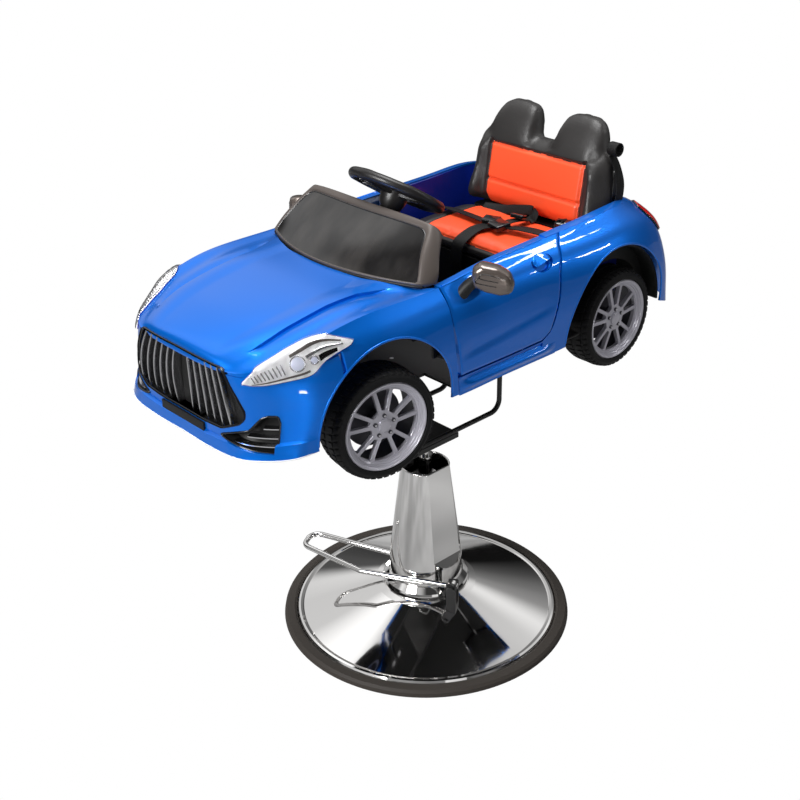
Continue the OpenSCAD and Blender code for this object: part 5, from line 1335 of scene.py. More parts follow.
# The mirror head's outline, as (distance out along its back, height) points, and the lines on it
mirror = {"root": (0.222, -0.110, 0), "along": (0.78, 0.626, 0), "half": 0.0185,
          "outline": [(0.007, 0.8659), (0.0193, 0.8756), (0.049, 0.8703), (0.0707, 0.858), (0.0777, 0.8405),
                      (0.074, 0.8242), (0.055, 0.8198), (0.0266, 0.8257), (0.0023, 0.8372)],
          "rounding": [0.008, 0.008, 0.020, 0.014, 0.012, 0.012, 0.014, 0.012, 0.010],
          "slots": [[(0.0504, 0.8473), (0.0207, 0.8532), (0.0255, 0.8613), (0.0536, 0.8555)],
                    [(0.0473, 0.8392), (0.0133, 0.8457), (0.0182, 0.8548)]],
          "foot": [(0.2190, -0.126, 0.819), (0.2235, -0.121, 0.829), (0.229, -0.114, 0.838),
                   (0.236, -0.104, 0.846)]}


def onMirror(out, depth, z):
    outward = unit(mirror["along"])
    across = np.array([outward[1], -outward[0], 0])
    p = np.array(mirror["root"]) + np.multiply.outer(np.asarray(out, float), outward)
    p = p + np.multiply.outer(np.asarray(depth, float), across)
    return p + np.multiply.outer(np.asarray(z, float), (0, 0, 1))


def makeMirror():
    around, rows = 64, 15
    outline = resample(roundOutline(mirror["outline"], mirror["rounding"], 6), around)
    mid = outline.mean(0)
    verts = []
    for i in range(rows):
        turn = i / (rows - 1) * math.pi
        scale = max(0.02, math.sin(turn)) ** 0.28
        depth = mirror["half"] * math.copysign(abs(math.cos(turn)) ** 0.9, -math.cos(turn))
        ring = mid + (outline - mid) * scale
        verts += list(onMirror(ring[:, 0], np.full(around, depth), ring[:, 1]))
    faces = grid(rows, around, closed=True) + endFaces(rows, around)
    shell = normalsOut(meshObject("mirror_shell", verts, faces, 50))
    shade(shell, 45)
    backMid = onMirror(0.0, -mirror["half"] * 0.55, 0.0)
    across = unit(onMirror(0.0, 1.0, 0.0) - onMirror(0.0, 0.0, 0.0))
    low = float(np.min(outline[:, 1]))

    # Black on the rear side and underneath, bronze on the rest
    def mirrorSlot(co, n):
        return 1 if (np.array(co) - backMid) @ across < 0 or n.z < -0.75 and co.z < low + 0.02 else 0

    paintBy(shell, [materials["mirror"], materials["gloss"]], mirrorSlot)
    footLine = along(mirror["foot"], np.linspace(0, 1, 14))
    foot = paint(sweep("mirror_foot", footLine, np.linspace(0.0120, 0.0100, 14), 20), materials["trim"])
    parts = [shell, foot]
    for line in mirror["slots"]:
        pts = along([(out, z, 0) for out, z in line], np.linspace(0, 1, 30))
        spread = ((pts[:, 0] - mid[0]) / 0.045) ** 4 + ((pts[:, 1] - mid[1]) / 0.030) ** 4
        path = onMirror(pts[:, 0], mirror["half"] * (1.01 - 0.05 * spread), pts[:, 1])
        parts.append(paint(sweep("mirror_slot", path, 0.0008, 8), materials["gloss"]))
    return join("mirror_piece", parts)


# A round form stacked from (share of the handle's size, shift up, height out) rings
def handleForm(name, p, side, upv, n, rings, clip=None):
    turn = np.linspace(0, 2 * math.pi, 56, endpoint=False)
    verts = []
    for share, shift, out in rings:
        for a in turn:
            across = door["handleLong"] * share * math.cos(a)
            upward = door["handleTall"] * share * math.sin(a)
            if clip is not None:
                upward = max(upward, door["handleTall"] * (clip + 0.30 * share * math.cos(a)))
            tipped = out[0] + (out[1] - out[0]) * (0.5 - 0.5 * math.sin(a)) if isinstance(out, tuple) else out
            verts.append(p + across * side + (upward + shift) * upv + tipped * n)
    faces = grid(len(rings), 56, closed=True) + endFaces(len(rings), 56)
    return paint(shade(normalsOut(meshObject(name, verts, faces)), 40), materials["blue"])


def makeDoors():
    panel = doorSkin()
    hc, ht = onSide(np.array([door["handleY"]]), np.array([door["handleZ"]]))
    p, n = sideAt(hc, ht)[0], sideNormal(hc, ht)[0]
    upv = unit(np.array([0, 0, 1.0]) - n * n[2])
    side = np.cross(upv, n)
    cut(panel, [handleForm("handle_cut", p, side, upv, n, handleRecess)], smooth=32)
    paint(panel, materials["blue"])
    flap = handleForm("handle_flap", p, side, upv, n, handleFlap, clip=-0.30)
    topC = np.linspace(7.06, 9.0, 70)
    edge = sideAt(topC, np.full(70, 0.992))
    ends = [edgeY(doorFront, edge[:, 2]) + 0.002, edgeY(doorRear, edge[:, 2]) - 0.002]
    keep = (edge[:, 1] > ends[0]) & (edge[:, 1] < ends[1])
    edge = edge[keep] + 0.0021 * inward(topC[keep])
    lip = paint(sweep("door_lip", edge, 0.0023, 10, smooth=60), materials["blue"])
    left = join("door_panel_left", [panel, lip, flap])
    right = mirrored(left, "door_panel_right")
    place(left, "door_l", None, ["door_left"])
    place(right, "door_r", None, ["door_right"])
    mirrorLeft = makeMirror()
    mirrorRight = mirrored(mirrorLeft, "mirror_piece_right")
    mirrorLeft.name = "mirror_piece_left"
    place(mirrorLeft, "door_l", None, ["mirror_left"])
    place(mirrorRight, "door_r", None, ["mirror_right"])
    print("doors made")


splitter = {"end": 4.9, "reach": 0.0066, "radius": 0.0011}


# A pale white tube along the bumper's foot: a painted highlight on the lip's lower edge
def makeSplitterHighlight():
    cols = np.linspace(-splitter["end"], splitter["end"], 150)
    sides = np.stack([np.sign(cols), np.ones(150), np.ones(150)], 1)
    cols = np.abs(cols)
    pts = sideAt(cols, np.full(150, 0.0)) * sides
    out = splitter["reach"] * (1 - ease(4.2, 5.0, cols))[:, None] * inward(cols) * sides
    return sweep("splitter_painted_highlight", pts - out, splitter["radius"], 8)


def makeBody():
    front = paint(frontShell(), materials["blue"])
    lips = [paint(archLip("arch_edge_front", frontArch, 0.652), materials["blue"])]
    lips.append(mirrored(lips[0], "arch_edge"))
    place(join("front_body_shell", [front] + lips), "car", None, ["front_shell"])
    nose = paint(bumper(), materials["blue"])
    place(nose, "car", None, ["front_bumper"])
    place(makeSplitterHighlight(), "car", materials["white"])
    rear = paint(rearShell(), materials["blue"])
    deck = paint(rearDeck(), materials["blue"])
    lips = [paint(archLip("arch_edge_rear", rearArch, 0.655), materials["blue"])]
    lips.append(mirrored(lips[0], "arch_edge"))
    place(join("rear_body_shell", [rear, deck] + lips), "car", None, ["rear_shell"])
    leftSkirt = paint(sideSkirt(), materials["blue"])
    rightSkirt = mirrored(leftSkirt, "skirt_right")
    place(join("side_skirts_pair", [leftSkirt, rightSkirt]), "car", None, ["side_skirts"])
    print("body made")
    lamp, glass = makeHeadlight()
    place(mirrored(lamp, "headlight_right"), "car", None)
    place(lamp, "car", None, ["headlights"])
    paint(glass, materials["lens"])
    place(mirrored(glass, "headlight_glass_right"), "car", None)
    place(glass, "car", None)
    tail = makeTailLight()
    place(mirrored(tail, "tail_light_right"), "car", None)
    place(tail, "car", None, ["tail_lights"])
    place(makeGrille(), "car", None, ["grille", "grille_slats"])
    pocket = makeIntake()
    place(mirrored(pocket, "intake_right"), "car", None)
    place(pocket, "car", None, ["intakes"])
    plate = block("plate_bar", (-0.059, -0.5505, 0.655), (0.059, -0.545, 0.678), 0.0012)
    place(plate, "car", materials["trim"], ["plate_blank"])
    print("nose made")


# Cockpit: dashboard, steering wheel, seat and harness

tilt = math.radians(-33)
wheelMid = Vector((0, -0.065, 0.936))
onColumn = Matrix.Translation(wheelMid) @ Matrix.Rotation(tilt, 4, "X")
steeringWheel = {"ringRadius": 0.082, "tube": 0.0095, "spokes": (0, 180, 270),
                 "spokeLine": [(0.020, 0.013), (0.045, 0.0095), (0.062, 0.0085), (0.077, 0.0115)]}

# The section of a spoke as (share of its half width, height), and turned outlines as (radius, height)
spokeSection = [(-1, -0.0028), (-0.8, -0.0042), (0.8, -0.0042), (1, -0.0028), (1, 0.0022), (0.8, 0.0036),
                (-0.8, 0.0036), (-1, 0.0022)]
hubOutline = [(0, -0.046), (0.015, -0.046), (0.018, -0.034), (0.023, -0.026), (0.0255, -0.012),
              (0.0250, -0.002), (0.0225, 0.0012), (0.0190, 0.0018), (0.0176, -0.0005), (0.0176, -0.006),
              (0, -0.006)]
hornOutline = [(0, -0.0035), (0.0166, -0.0035), (0.0168, 0.0020), (0.0150, 0.0034), (0.0120, 0.0038),
               (0.0116, 0.0033), (0, 0.0040)]
cowlOutline = [(0.0145, -0.215), (0.026, -0.205), (0.031, -0.17), (0.033, -0.12), (0.031, -0.075),
               (0.026, -0.053), (0.0145, -0.050)]


def makeSteeringWheel():
    s = steeringWheel
    turn = np.linspace(0, 2 * math.pi, 120, endpoint=False)
    ring = np.stack([s["ringRadius"] * np.cos(turn), s["ringRadius"] * np.sin(turn), np.zeros(120)], 1)
    swell = 1 + 0.08 * np.cos(3 * (turn - math.pi / 2)) ** 8
    rim = sweep("wheel_rim", ring, s["tube"] * 0.98 * swell, 20, closed=True)
    parts = [paint(rim, materials["grip"])]
    for a in s["spokes"]:
        us = np.linspace(0, 1, 14)
        line = along(s["spokeLine"], us)
        path = np.stack([line[:, 0], np.zeros(14), -0.008 + 0.004 * us], 1)
        verts = []
        for q, w in zip(path, line[:, 1]):
            verts += [(q[0], w * across, q[2] + dz) for across, dz in spokeSection]
        spoke = meshObject("wheel_spoke", verts, grid(14, 8, closed=True) + endFaces(14, 8), 50)
        normalsOut(spoke)
        shade(spoke, 40)
        spoke.data.transform(Matrix.Rotation(math.radians(a), 4, "Z"))
        parts.append(paint(spoke, materials["silver" if a != 270 else "grip"]))
    parts.append(paint(lathe("wheel_hub", hubOutline, "z", 72), materials["grip"]))
    wheelObj = join("steering_wheel_piece", parts)
    wheelObj.data.transform(onColumn)
    place(wheelObj, "steering", None, ["steering_wheel"])
    button = lathe("horn_pad", hornOutline, "z", 64)
    button.data.transform(onColumn)
    place(button, "horn", materials["grip"], ["horn_button"])
    cowl = lathe("column_cowl", cowlOutline, "z", 56)
    cowl.data.transform(onColumn)
    place(cowl, "car", materials["trim"])
    print("steering wheel made")


seat = {"halfWidth": 0.175, "footZ": 0.792, "topZ": 1.004, "y": 0.296, "lean": 0.17, "leanFrom": 0.850,
        "topLean": 0.014, "thick": 0.050, "panelHalf": 0.119, "panelTop": 0.922, "panelSeam": 0.849,
        "baseFront": 0.107, "baseRear": 0.288, "baseTop": 0.798, "baseThick": 0.034, "basePanelHalf": 0.118,
        "basePanelZ": 0.785, "baseFootZ": 0.7638, "baseBackY": 0.2895}

# Top edge of the seat back: share of its half width, and height there
topSteps = [0, 0.12, 0.17, 0.22, 0.27, 0.34, 0.48, 0.66, 0.77, 0.84, 0.89, 0.94, 1]
topHeights = [0.7, 0.7, 0.77, 0.9, 0.97, 1, 1.01, 1, 0.95, 0.86, 0.72, 0.6, 0.42]
topMap = [0.74 - 0.4 * (0.7 - h) if h < 0.75 else 0.74 + 0.26 * (h - 0.7) / 0.31 for h in topHeights]


def backTop(p):
    share = np.interp(np.abs(p), topSteps, topMap)
    return seat["footZ"] + (seat["topZ"] - seat["footZ"]) * share


def backAt(p, q, front):
    p, q = np.broadcast_arrays(np.asarray(p, float), np.asarray(q, float))
    s = seat
    z = mix(s["footZ"], backTop(p), q)
    w = np.abs(p)
    soft = (1 - w ** 8) * (1 - np.abs(2 * q - 1) ** 10)
    y = s["y"] + s["lean"] * (z - s["leanFrom"]) + s["topLean"] * ease(0.920, 1.010, z)
    wing = 0.022 * ease(0.7, 0.9, w) * (1 - ease(0.900, 0.950, z))
    wing = wing + 0.018 * ease(0.72, 0.92, w) * (1 - ease(0.81, 0.88, z))
    x = p * s["halfWidth"] * (1 - 0.06 * ease(0.860, 0.960, z))
    yf = y + s["thick"] * 0.35 * (1 - soft) - wing * soft
    yb = y + s["thick"] * (0.7 + 0.3 * soft)
    return np.stack([x, yf if front else yb, z], -1)


def soften(obj):
    m = obj.modifiers.new("smooth", "SUBSURF")
    m.levels = m.render_levels = 1
    return shade(bake(obj), 60)


# Gives each face the material that rule(centre, normal) picks from the list
def paintBy(obj, mats, rule):
    obj.data.materials.clear()
    for m in mats:
        obj.data.materials.append(m)
    for poly in obj.data.polygons:
        poly.material_index = rule(poly.center, poly.normal)
    return obj


# Presses a seam in where distance(point) is near 0
def groove(obj, distance, depth, width, direction):
    for v in obj.data.vertices:
        d = abs(distance(v.co))
        if d < width:
            k = (1 - (d / width) ** 2) ** 2
            v.co += Vector(direction) * (depth * k)
    obj.data.update()
    return obj


def makeSeatBack():
    p, q = np.meshgrid(np.linspace(-1, 1, 75), np.linspace(0, 1, 40), indexing="ij")
    front, rear = backAt(p, q, True), backAt(p, q, False)
    mid = (front + rear) / 2
    front, rear = mid + (front - mid) * 0.90, mid + (rear - mid) * 0.94
    obj = skin("seat_back_cushion", front, rear, 60)
    soften(inflate(obj))
    half, top = seat["panelHalf"], seat["panelTop"]

    def onFront(co):
        return co.y < seat["y"] + seat["lean"] * (co.z - seat["leanFrom"]) + 0.026

    lines = [lambda co: abs(co.x) - half if onFront(co) and co.z < 0.930 else 1]
    for seamZ in (seat["panelSeam"], top):
        lines.append(lambda co, z=seamZ: co.z - z if onFront(co) and abs(co.x) < half + 0.002 else 1)
    for line in lines:
        groove(obj, line, 0.0045, 0.006, (0, 1, 0))
    paintBy(obj, [materials["blackLeather"], materials["redLeather"]],
            lambda c, n: 1 if abs(c.x) < half and c.z < top and onFront(c) and n.y < 0.2 else 0)
    place(obj, "car", None, ["seat_back"])
    print("seat back made", len(obj.data.polygons))


def makeSeatBase():
    s = seat
    p, q = np.meshgrid(np.linspace(-1, 1, 60), np.linspace(0, 1, 34), indexing="ij")
    w = np.abs(p)
    soft = (1 - w ** 8) * (1 - np.abs(2 * q - 1) ** 8)
    y = mix(s["baseFront"], s["baseRear"], q)
    top = s["baseTop"] - s["baseThick"] * 0.4 * (1 - soft) + 0.003 * (1 - w * w) * soft - 0.0045
    x = p * (s["halfWidth"] - 0.002) * 0.985
    obj = skin("seat_base_cushion", np.stack([x, y, top], -1),
               np.stack([x, y, np.full_like(x, s["baseTop"] - s["baseThick"] + 0.002)], -1), 60)
    soften(inflate(obj))
    for v in obj.data.vertices:
        v.co.z = max(v.co.z, s["baseFootZ"])
        v.co.y = min(v.co.y, s["baseBackY"])
    half, foot = s["basePanelHalf"], s["basePanelZ"]
    groove(obj, lambda co: abs(co.x) - half if co.z > 0.78 else 1, 0.0045, 0.006, (0, 0, -1))
    groove(obj, lambda co: co.z - foot if co.y < 0.125 and abs(co.x) < 0.175 else 1, 0.003, 0.005, (0, 1, 0))
    paintBy(obj, [materials["blackLeather"], materials["redLeather"]],
            lambda c, n: 1 if abs(c.x) < half and c.z > foot else 0)
    place(obj, "car", None, ["seat_base"])
    print("seat base made", len(obj.data.polygons))


def strap(name, points, width, ups):
    us = np.linspace(0, 1, 40)
    path = along(points, us)
    lift = along(np.array(ups, float), us)
    w, h = width / 2, harness["thick"] / 2
    profile = [(-w, -h), (-w * 0.94, -h * 1.3), (w * 0.94, -h * 1.3), (w, -h), (w, h), (w * 0.94, h * 1.3),
               (-w * 0.94, h * 1.3), (-w, h)]
    return paint(sweep(name, path, 1, profile=profile, ups=unit(lift), smooth=35), materials["web"])


def buckleBox(centre, size, turn=0.0, tiltX=0.0, material="gloss"):
    obj = block("buckle", [-v / 2 for v in size], [v / 2 for v in size], min(size) * 0.28, 3)
    turned = Matrix.Translation(centre) @ Matrix.Rotation(turn, 4, "Z")
    obj.data.transform(turned @ Matrix.Rotation(tiltX, 4, "X"))
    return paint(obj, materials[material])


# Webbing that lies on the seat: name, share of the width, points along it and which way its face looks there
harness = {"width": 0.025, "rolled": 0.020, "thick": 0.0016, "top": 0.8065}
laid = harness["top"]
straps = [
    ("strap_left_lap", 1, [(-0.172, 0.200, 0.800), (-0.120, 0.195, laid + 0.001),
                           (-0.060, 0.190, laid + 0.003), (-0.015, 0.183, laid + 0.004)],
     [(0, 0.2, 1)] * 4),
    ("strap_back", 0.75, [(-0.100, 0.266, 0.801), (-0.069, 0.270, 0.803), (-0.044, 0.271, 0.806),
                          (-0.012, 0.270, 0.814), (0.019, 0.268, 0.821), (0.031, 0.265, 0.822)],
     [(0.2, -0.6, 1), (0.1, -0.8, 1), (0, -1, 0.8), (0, -1, 0.6), (0, -1, 0.5), (-0.2, -1, 0.3)]),
    ("strap_fold", 0.75, [(0.031, 0.265, 0.822), (0.038, 0.262, 0.816), (0.036, 0.256, 0.808),
                          (0.033, 0.248, 0.809), (0.033, 0.236, 0.811)],
     [(-0.2, -1, 0.2), (0.2, -1, 0.6), (0.2, -0.6, 1), (0, -0.2, 1), (0, 0, 1)]),
    ("strap_riser", 0.8, [(0.035, 0.238, 0.812), (0.034, 0.222, 0.816), (0.030, 0.204, 0.817),
                          (0.022, 0.190, 0.812)],
     [(0, 0, 1), (0, 0.2, 1), (0, 0, 1), (0, -0.3, 1)]),
    ("strap_front", 1.15, [(0.006, 0.176, laid + 0.004), (-0.004, 0.150, laid + 0.003),
                           (-0.008, 0.124, 0.802), (-0.010, 0.103, 0.790), (-0.012, 0.0985, 0.770),
                           (-0.014, 0.100, 0.740), (-0.015, 0.112, 0.712)],
     [(0, 0, 1), (0, 0, 1), (0, -0.5, 1), (0, -1, 0.4), (0, -1, 0), (0, -1, 0), (0, -1, 0)]),
    ("strap_right", 1, [(0.040, 0.186, laid + 0.005), (0.075, 0.196, laid + 0.0075),
                        (0.115, 0.205, laid + 0.006), (0.150, 0.212, 0.803), (0.171, 0.216, 0.797)],
     [(0, 0.2, 1), (0, 0, 1), (0, 0, 1), (0.2, 0, 1), (0.6, 0, 1)])]
hangingStrap = ("strap_hanging", 1, [(0.160, 0.336, 0.948), (0.170, 0.343, 0.920), (0.177, 0.346, 0.888),
                                     (0.176, 0.344, 0.855), (0.172, 0.338, 0.828)],
                [(1, 0.3, 0.3), (1, 0.2, 0.2), (1, 0.1, 0), (1, 0.1, 0), (1, 0, 0)])

# Buckles as (middle, size, turn, tilt, material)
buckles = [((-0.004, 0.186, laid + 0.0075), (0.034, 0.026, 0.013), 0.35, 0.1, "gloss"),
           ((0.026, 0.176, laid + 0.0085), (0.036, 0.032, 0.012), -0.25, 0.1, "gloss"),
           ((0.034, 0.222, 0.8235), (0.028, 0.019, 0.008), 0.2, -0.25, "gloss"),
           ((0.112, 0.262, 0.815), (0.030, 0.020, 0.018), 0.4, 0.2, "gloss"),
           ((0.012, 0.190, laid + 0.011), (0.012, 0.012, 0.008), 0.2, 0.0, "trim")]


def layStrap(row):
    name, share, points, ups = row
    return strap(name, points, harness["width"] * share, ups)


def makeHarness():
    parts = [layStrap(row) for row in straps] + [buckleBox(*row) for row in buckles]
    rolled, turn = harness["rolled"], np.linspace(0, 2 * math.pi, 16)
    roll = [(0.112 + 0.010 * math.cos(a) * 0.6, 0.258 + 0.004 * math.sin(a), 0.818 + 0.008 * math.sin(a))
            for a in turn]
    parts.append(strap("strap_roll", roll, rolled, [(0.5 * math.cos(a), 0.2, math.sin(a)) for a in turn]))
    turn = np.linspace(0, 2 * math.pi, 18)
    coil = np.stack([np.full(18, 0.166), 0.338 + 0.012 * np.sin(turn), 0.958 + 0.012 * np.cos(turn)], 1)
    parts.append(strap("strap_coil", coil, rolled, np.stack([np.zeros(18), np.sin(turn), np.cos(turn)], 1)))
    parts.append(layStrap(hangingStrap))
    obj = join("harness_set", parts)
    place(obj, "car", None, ["harness", "buckle"])
    print("harness made")


dash = {"half": 0.179, "rounding": 0.006, "ventX": 0.10,
        "ventRing": [(0.013, 0.0), (0.016, 0.0), (0.016, 0.003), (0.013, 0.003)],
        "section": [(-0.2345, 0.8335), (-0.150, 0.8335), (-0.128, 0.829), (-0.117, 0.815), (-0.1175, 0.778),
                    (-0.131, 0.754), (-0.160, 0.744), (-0.200, 0.744), (-0.220, 0.790)]}
sill = {"x": 0.193, "half": 0.045, "front": -0.150, "rear": 0.172, "low": 0.6552, "high": 0.6592}
innerWall = {"start": 9.15, "end": 12.2, "inset": 0.0155, "xMost": 0.1835, "yMost": 0.360, "foot": 0.664,
             "thick": 0.0015}


def makeDash():
    rounded = roundOutline(dash["section"], dash["rounding"], 5)
    parts = [paint(prism("dash", rounded, 0, -dash["half"], dash["half"], smooth=30), materials["trim"])]
    for x in (-dash["ventX"], dash["ventX"]):
        ring = paint(lathe("vent_ring", dash["ventRing"], "z", 40), materials["silver"])
        upright = Matrix.Rotation(math.radians(90), 4, "X")
        ring.data.transform(Matrix.Translation((x, -0.1165, 0.797)) @ upright)
        vent = block("vent", (x - 0.011, -0.1185, 0.786), (x + 0.011, -0.1160, 0.808), 0.001)
        parts += [ring, paint(vent, materials["gloss"])]
    place(join("dashboard_piece", parts), "car", None, ["dashboard"])


# Strips that close the floor between the tub and the side skirts
def makeSills():
    strips = []
    for side in (1, -1):
        low = (side * sill["x"] - sill["half"], sill["front"], sill["low"])
        high = (side * sill["x"] + sill["half"], sill["rear"], sill["high"])
        strips.append(paint(block("sill", low, high, 0.001, 1), materials["trim"]))
    place(join("sill_strips", strips), "car", None)


# Dashboard, sills and the blue inner walls below the door tops
def makeCockpit():
    makeDash()
    makeSills()
    steps = 50
    for side, name in ((1, "left"), (-1, "right")):
        cols = np.linspace(innerWall["start"], innerWall["end"], steps)
        verts = []
        for c in cols:
            e = sideLine(topLine, c)
            x = min(e[0] - innerWall["inset"], innerWall["xMost"])
            for z in np.linspace(e[2] - 0.002, innerWall["foot"], 8):
                verts.append((side * x, min(e[1], innerWall["yMost"]), z))
        wall = meshObject("inner_wall", verts, grid(steps, 8), 40)
        solid = wall.modifiers.new("solid", "SOLIDIFY")
        solid.thickness = innerWall["thick"]
        bake(wall)
        place(shade(wall, 40), "car", materials["deepBlue"])
        wall.name = "inner_wall_" + name
    print("cockpit made")


# The rolled top edge of the pump cover, round with a flat on each side
coverLip = {"radius": 0.0485, "flat": 0.0390, "z": 0.3500, "tube": 0.0016}


def makeCoverLip():
    turn = np.linspace(0, 2 * math.pi, 120, endpoint=False)
    x = np.clip(coverLip["radius"] * np.cos(turn), -coverLip["flat"], coverLip["flat"])
    ring = np.stack([x, coverLip["radius"] * np.sin(turn), np.full(120, coverLip["z"])], 1)
    place(sweep("cover_lip", ring, coverLip["tube"], 10, closed=True), "base", materials["chrome"])
    print("pump cover lip made")


# Pieces that keep the frame's own shape and only get a material
def dressNodes():
    plan = {"chrome": ["base_dome", "pump_collar", "pump_cover", "foot_pedal", "piston_rod"],
            "blackSteel": ["base_plate", "pump_cylinder", "pedal_pivot", "seat_plate", "cradle_left",
                           "cradle_right", "front_beam", "knuckle_left", "knuckle_right", "tie_rod",
                           "door_hinges", "guide_bush"],
            "brightSteel": ["cradle_bolts", "rear_axle", "steering_shaft"], "rubber": ["rubber_ring"],
            "trim": ["chassis", "steering_column", "seat_shell"]}
    for key, names in plan.items():
        for name in names:
            if name in nodes:
                paint(nodes[name], materials[key])
    print("plain pieces painted")


# Sky brightness overhead and low down, how much light the floor gives back, and its grey
stage = {"zenith": 0.60, "horizon": 0.05, "floorGlow": 0.16, "floorShade": 0.24,
         "floorPatches": (0.38, 0.62, 0.12, 1.5), "skyPatches": (0.42, 0.60, 0.12, 1.5)}

# Bright soft areas round the sky: direction, cosine where full, cosine where gone, strength
studioPanels = [((-1.0, 0.15, 0.75), 0.93, 0.86, 0.75), ((-0.15, 0.6, 0.85), 0.96, 0.90, 0.55),
                ((-0.2, -1.0, 0.55), 0.97, 0.93, 0.7)]


def makeFloor():
    floor = meshObject("floor", [(-9, -9, 0), (9, -9, 0), (9, 9, 0), (-9, 9, 0)], [(0, 1, 2, 3)])
    mat = principled("floor", (stage["floorShade"],) * 3, 0.9, spec=0.0)
    tree = mat.node_tree
    path = addNode(mat, "ShaderNodeLightPath")
    seen = addNode(mat, "ShaderNodeEmission")
    glow = addNode(mat, "ShaderNodeEmission")
    total = addNode(mat, "ShaderNodeAddShader")
    blend = addNode(mat, "ShaderNodeMixShader")
    patches = noise(mat, 1.6, 2, 0.6)
    ramp = addNode(mat, "ShaderNodeMapRange")
    mapRange(ramp, *stage["floorPatches"])
    strength = addNode(mat, "ShaderNodeMath")
    strength.operation = "MULTIPLY"
    strength.inputs[1].default_value = stage["floorGlow"]
    out = next(n for n in tree.nodes if n.type == "OUTPUT_MATERIAL")
    wire(tree, [(patches.outputs[0], ramp.inputs["Value"]), (ramp.outputs["Result"], strength.inputs[0]),
                (strength.outputs[0], glow.inputs["Strength"]), (glow.outputs[0], total.inputs[1]),
                (tree.nodes["Principled BSDF"].outputs[0], total.inputs[0]),
                (path.outputs["Is Camera Ray"], blend.inputs[0]), (total.outputs[0], blend.inputs[1]),
                (seen.outputs[0], blend.inputs[2]), (blend.outputs[0], out.inputs["Surface"])])
    paint(floor, mat)


# A sky of soft bright areas that lights the part and shows in its gloss; behind the part it is plain white
def makeWorld():
    world = bpy.data.worlds.new("studio")
    bpy.context.scene.world = world
    world.use_nodes = True
    tree = world.node_tree
    make = tree.nodes.new
    back = tree.nodes["Background"]
    coords = make("ShaderNodeTexCoord")
    split = make("ShaderNodeSeparateXYZ")
    ramp = make("ShaderNodeValToRGB")
    elements = ramp.color_ramp.elements
    elements[0].position, elements[1].position = 0.0, 1.0
    low, high = stage["horizon"], stage["zenith"]
    elements[0].color, elements[1].color = (low, low, low, 1), (high, high, high, 1)
    for pos, value in ((0.18, low * 1.3), (0.38, 0.16), (0.62, 0.34)):
        elements.new(pos).color = (value, value, value, 1)
    cloud = make("ShaderNodeTexNoise")
    contrast = make("ShaderNodeMapRange")
    product = make("ShaderNodeMixRGB")
    cloud.inputs["Scale"].default_value = 1.7
    cloud.inputs["Detail"].default_value = 1.5
    mapRange(contrast, *stage["skyPatches"])
    product.blend_type = "MULTIPLY"
    product.inputs[0].default_value = 1
    around = coords.outputs["Generated"]
    wire(tree, [(around, split.inputs[0]), (split.outputs["Z"], ramp.inputs[0]),
                (around, cloud.inputs["Vector"]),
                (cloud.outputs[0], contrast.inputs["Value"]), (ramp.outputs[0], product.inputs[1]),
                (contrast.outputs["Result"], product.inputs[2])])
    light = product.outputs[0]
    for toward, narrow, wide, strength in studioPanels:
        dot, soft = make("ShaderNodeVectorMath"), make("ShaderNodeMapRange")
        dot.operation = "DOT_PRODUCT"
        dot.inputs[1].default_value = tuple(unit(toward))
        soft.interpolation_type = "SMOOTHSTEP"
        mapRange(soft, wide, narrow, 0, strength)
        added = make("ShaderNodeMixRGB")
        added.blend_type = "ADD"
        added.inputs[0].default_value = 1
        wire(tree, [(around, dot.inputs[0]), (dot.outputs["Value"], soft.inputs["Value"]),
                    (light, added.inputs[1]), (soft.outputs["Result"], added.inputs[2])])
        light = added.outputs[0]
    back.inputs[1].default_value = 0.9
    plain = make("ShaderNodeBackground")
    path = make("ShaderNodeLightPath")
    mixer = make("ShaderNodeMixShader")
    plain.inputs[0].default_value = (1, 1, 1, 1)
    out = next(n for n in tree.nodes if n.type == "OUTPUT_WORLD")
    wire(tree, [(light, back.inputs[0]), (path.outputs["Is Camera Ray"], mixer.inputs[0]),
                (back.outputs[0], mixer.inputs[1]), (plain.outputs[0], mixer.inputs[2]),
                (mixer.outputs[0], out.inputs["Surface"])])


def makeStage():
    makeFloor()
    makeWorld()
    print("floor and sky made")


# The camera that was fitted to the photo: degrees round and up, and millimetres of lens
view = {"azimuth": 47.285, "elevation": 27.686, "roll": -0.980, "lens": 57.95, "sensor": 36,
        "at": (1.60618, -1.54824, 1.66470)}


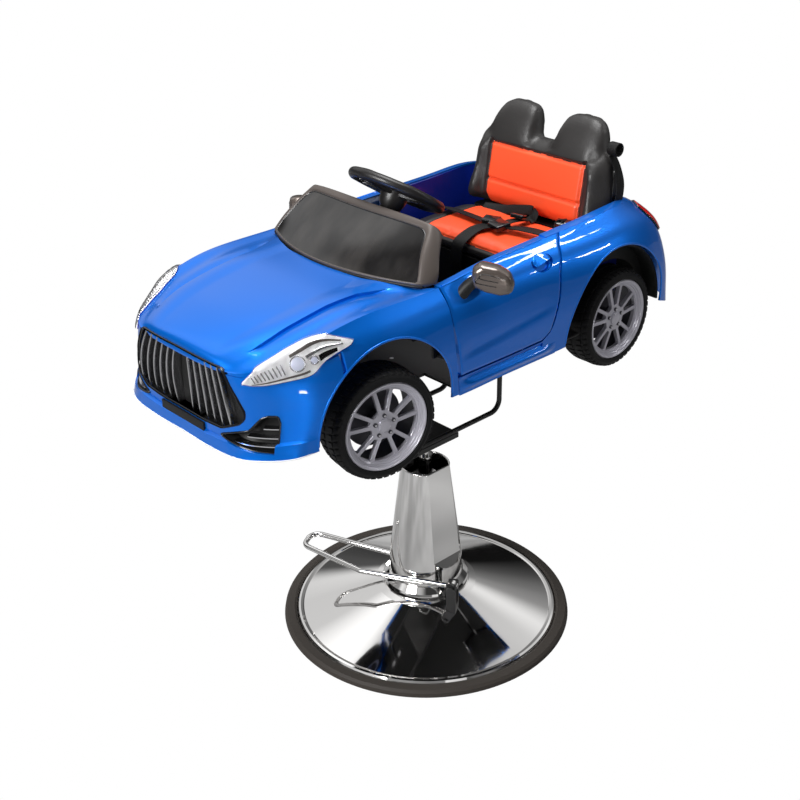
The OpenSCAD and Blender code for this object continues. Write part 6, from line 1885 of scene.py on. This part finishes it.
def makeCamera():
    az, el, ro = [math.radians(view[key]) for key in ("azimuth", "elevation", "roll")]
    back = Vector((math.sin(az) * math.cos(el), -math.cos(az) * math.cos(el), math.sin(el)))
    right = Vector((math.cos(az), math.sin(az), 0))
    up = back.cross(right)
    r = right * math.cos(ro) + up * math.sin(ro)
    u = -right * math.sin(ro) + up * math.cos(ro)
    camera = bpy.data.objects.new("camera", bpy.data.cameras.new("camera"))
    bpy.context.scene.collection.objects.link(camera)
    matrix = Matrix((r, u, back)).transposed().to_4x4()
    matrix.translation = Vector(view["at"])
    camera.matrix_world = matrix
    camera.data.sensor_width = view["sensor"]
    camera.data.lens = view["lens"]
    bpy.context.scene.camera = camera
    print("camera made")


# Soft lamps: where, toward what, width, height where it isn't square, watts; the gleams are narrow strips
lamps = {"key": ((0.15, -3.1, 2.2), (0, -0.1, 0.7), 1.3, None, 125),
         "top": ((-0.05, 0.3, 3.4), (0, 0, 0.6), 1.6, None, 85),
         "side": ((3.2, -1.2, 1.4), (0, 0, 0.6), 1.0, None, 2),
         "gleam_door": ((1.15, 1.50, 2.15), (0.21, 0, 0.85), 0.60, 0.04, 3.5),
         "gleam_quarter": ((1.76, 1.72, 1.27), (0.24, 0.19, 0.81), 0.26, 0.05, 2.2),
         "gleam_fender": ((2.00, -1.62, 0.35), (0.21, -0.46, 0.76), 0.30, 0.06, 2.2)}


def makeLights():
    for name, (spot, target, size, tall, power) in lamps.items():
        data = bpy.data.lights.new(name, "AREA")
        data.energy, data.size = power, size
        if tall:
            data.shape, data.size_y = "RECTANGLE", tall
        obj = bpy.data.objects.new(name, data)
        bpy.context.scene.collection.objects.link(obj)
        obj.location = spot
        obj.rotation_euler = (Vector(target) - Vector(spot)).to_track_quat("-Z", "Y").to_euler()
    print("lights made")


makeCoverLip()
makeCamera()
makeStage()
makeLights()
dressNodes()
makeBody()
makeDoors()
makeWheels()
makeWindscreen()
makeCockpit()
makeSteeringWheel()
makeSeatBack()
makeSeatBase()
makeHarness()
bpy.context.scene.view_settings.view_transform = "Standard"
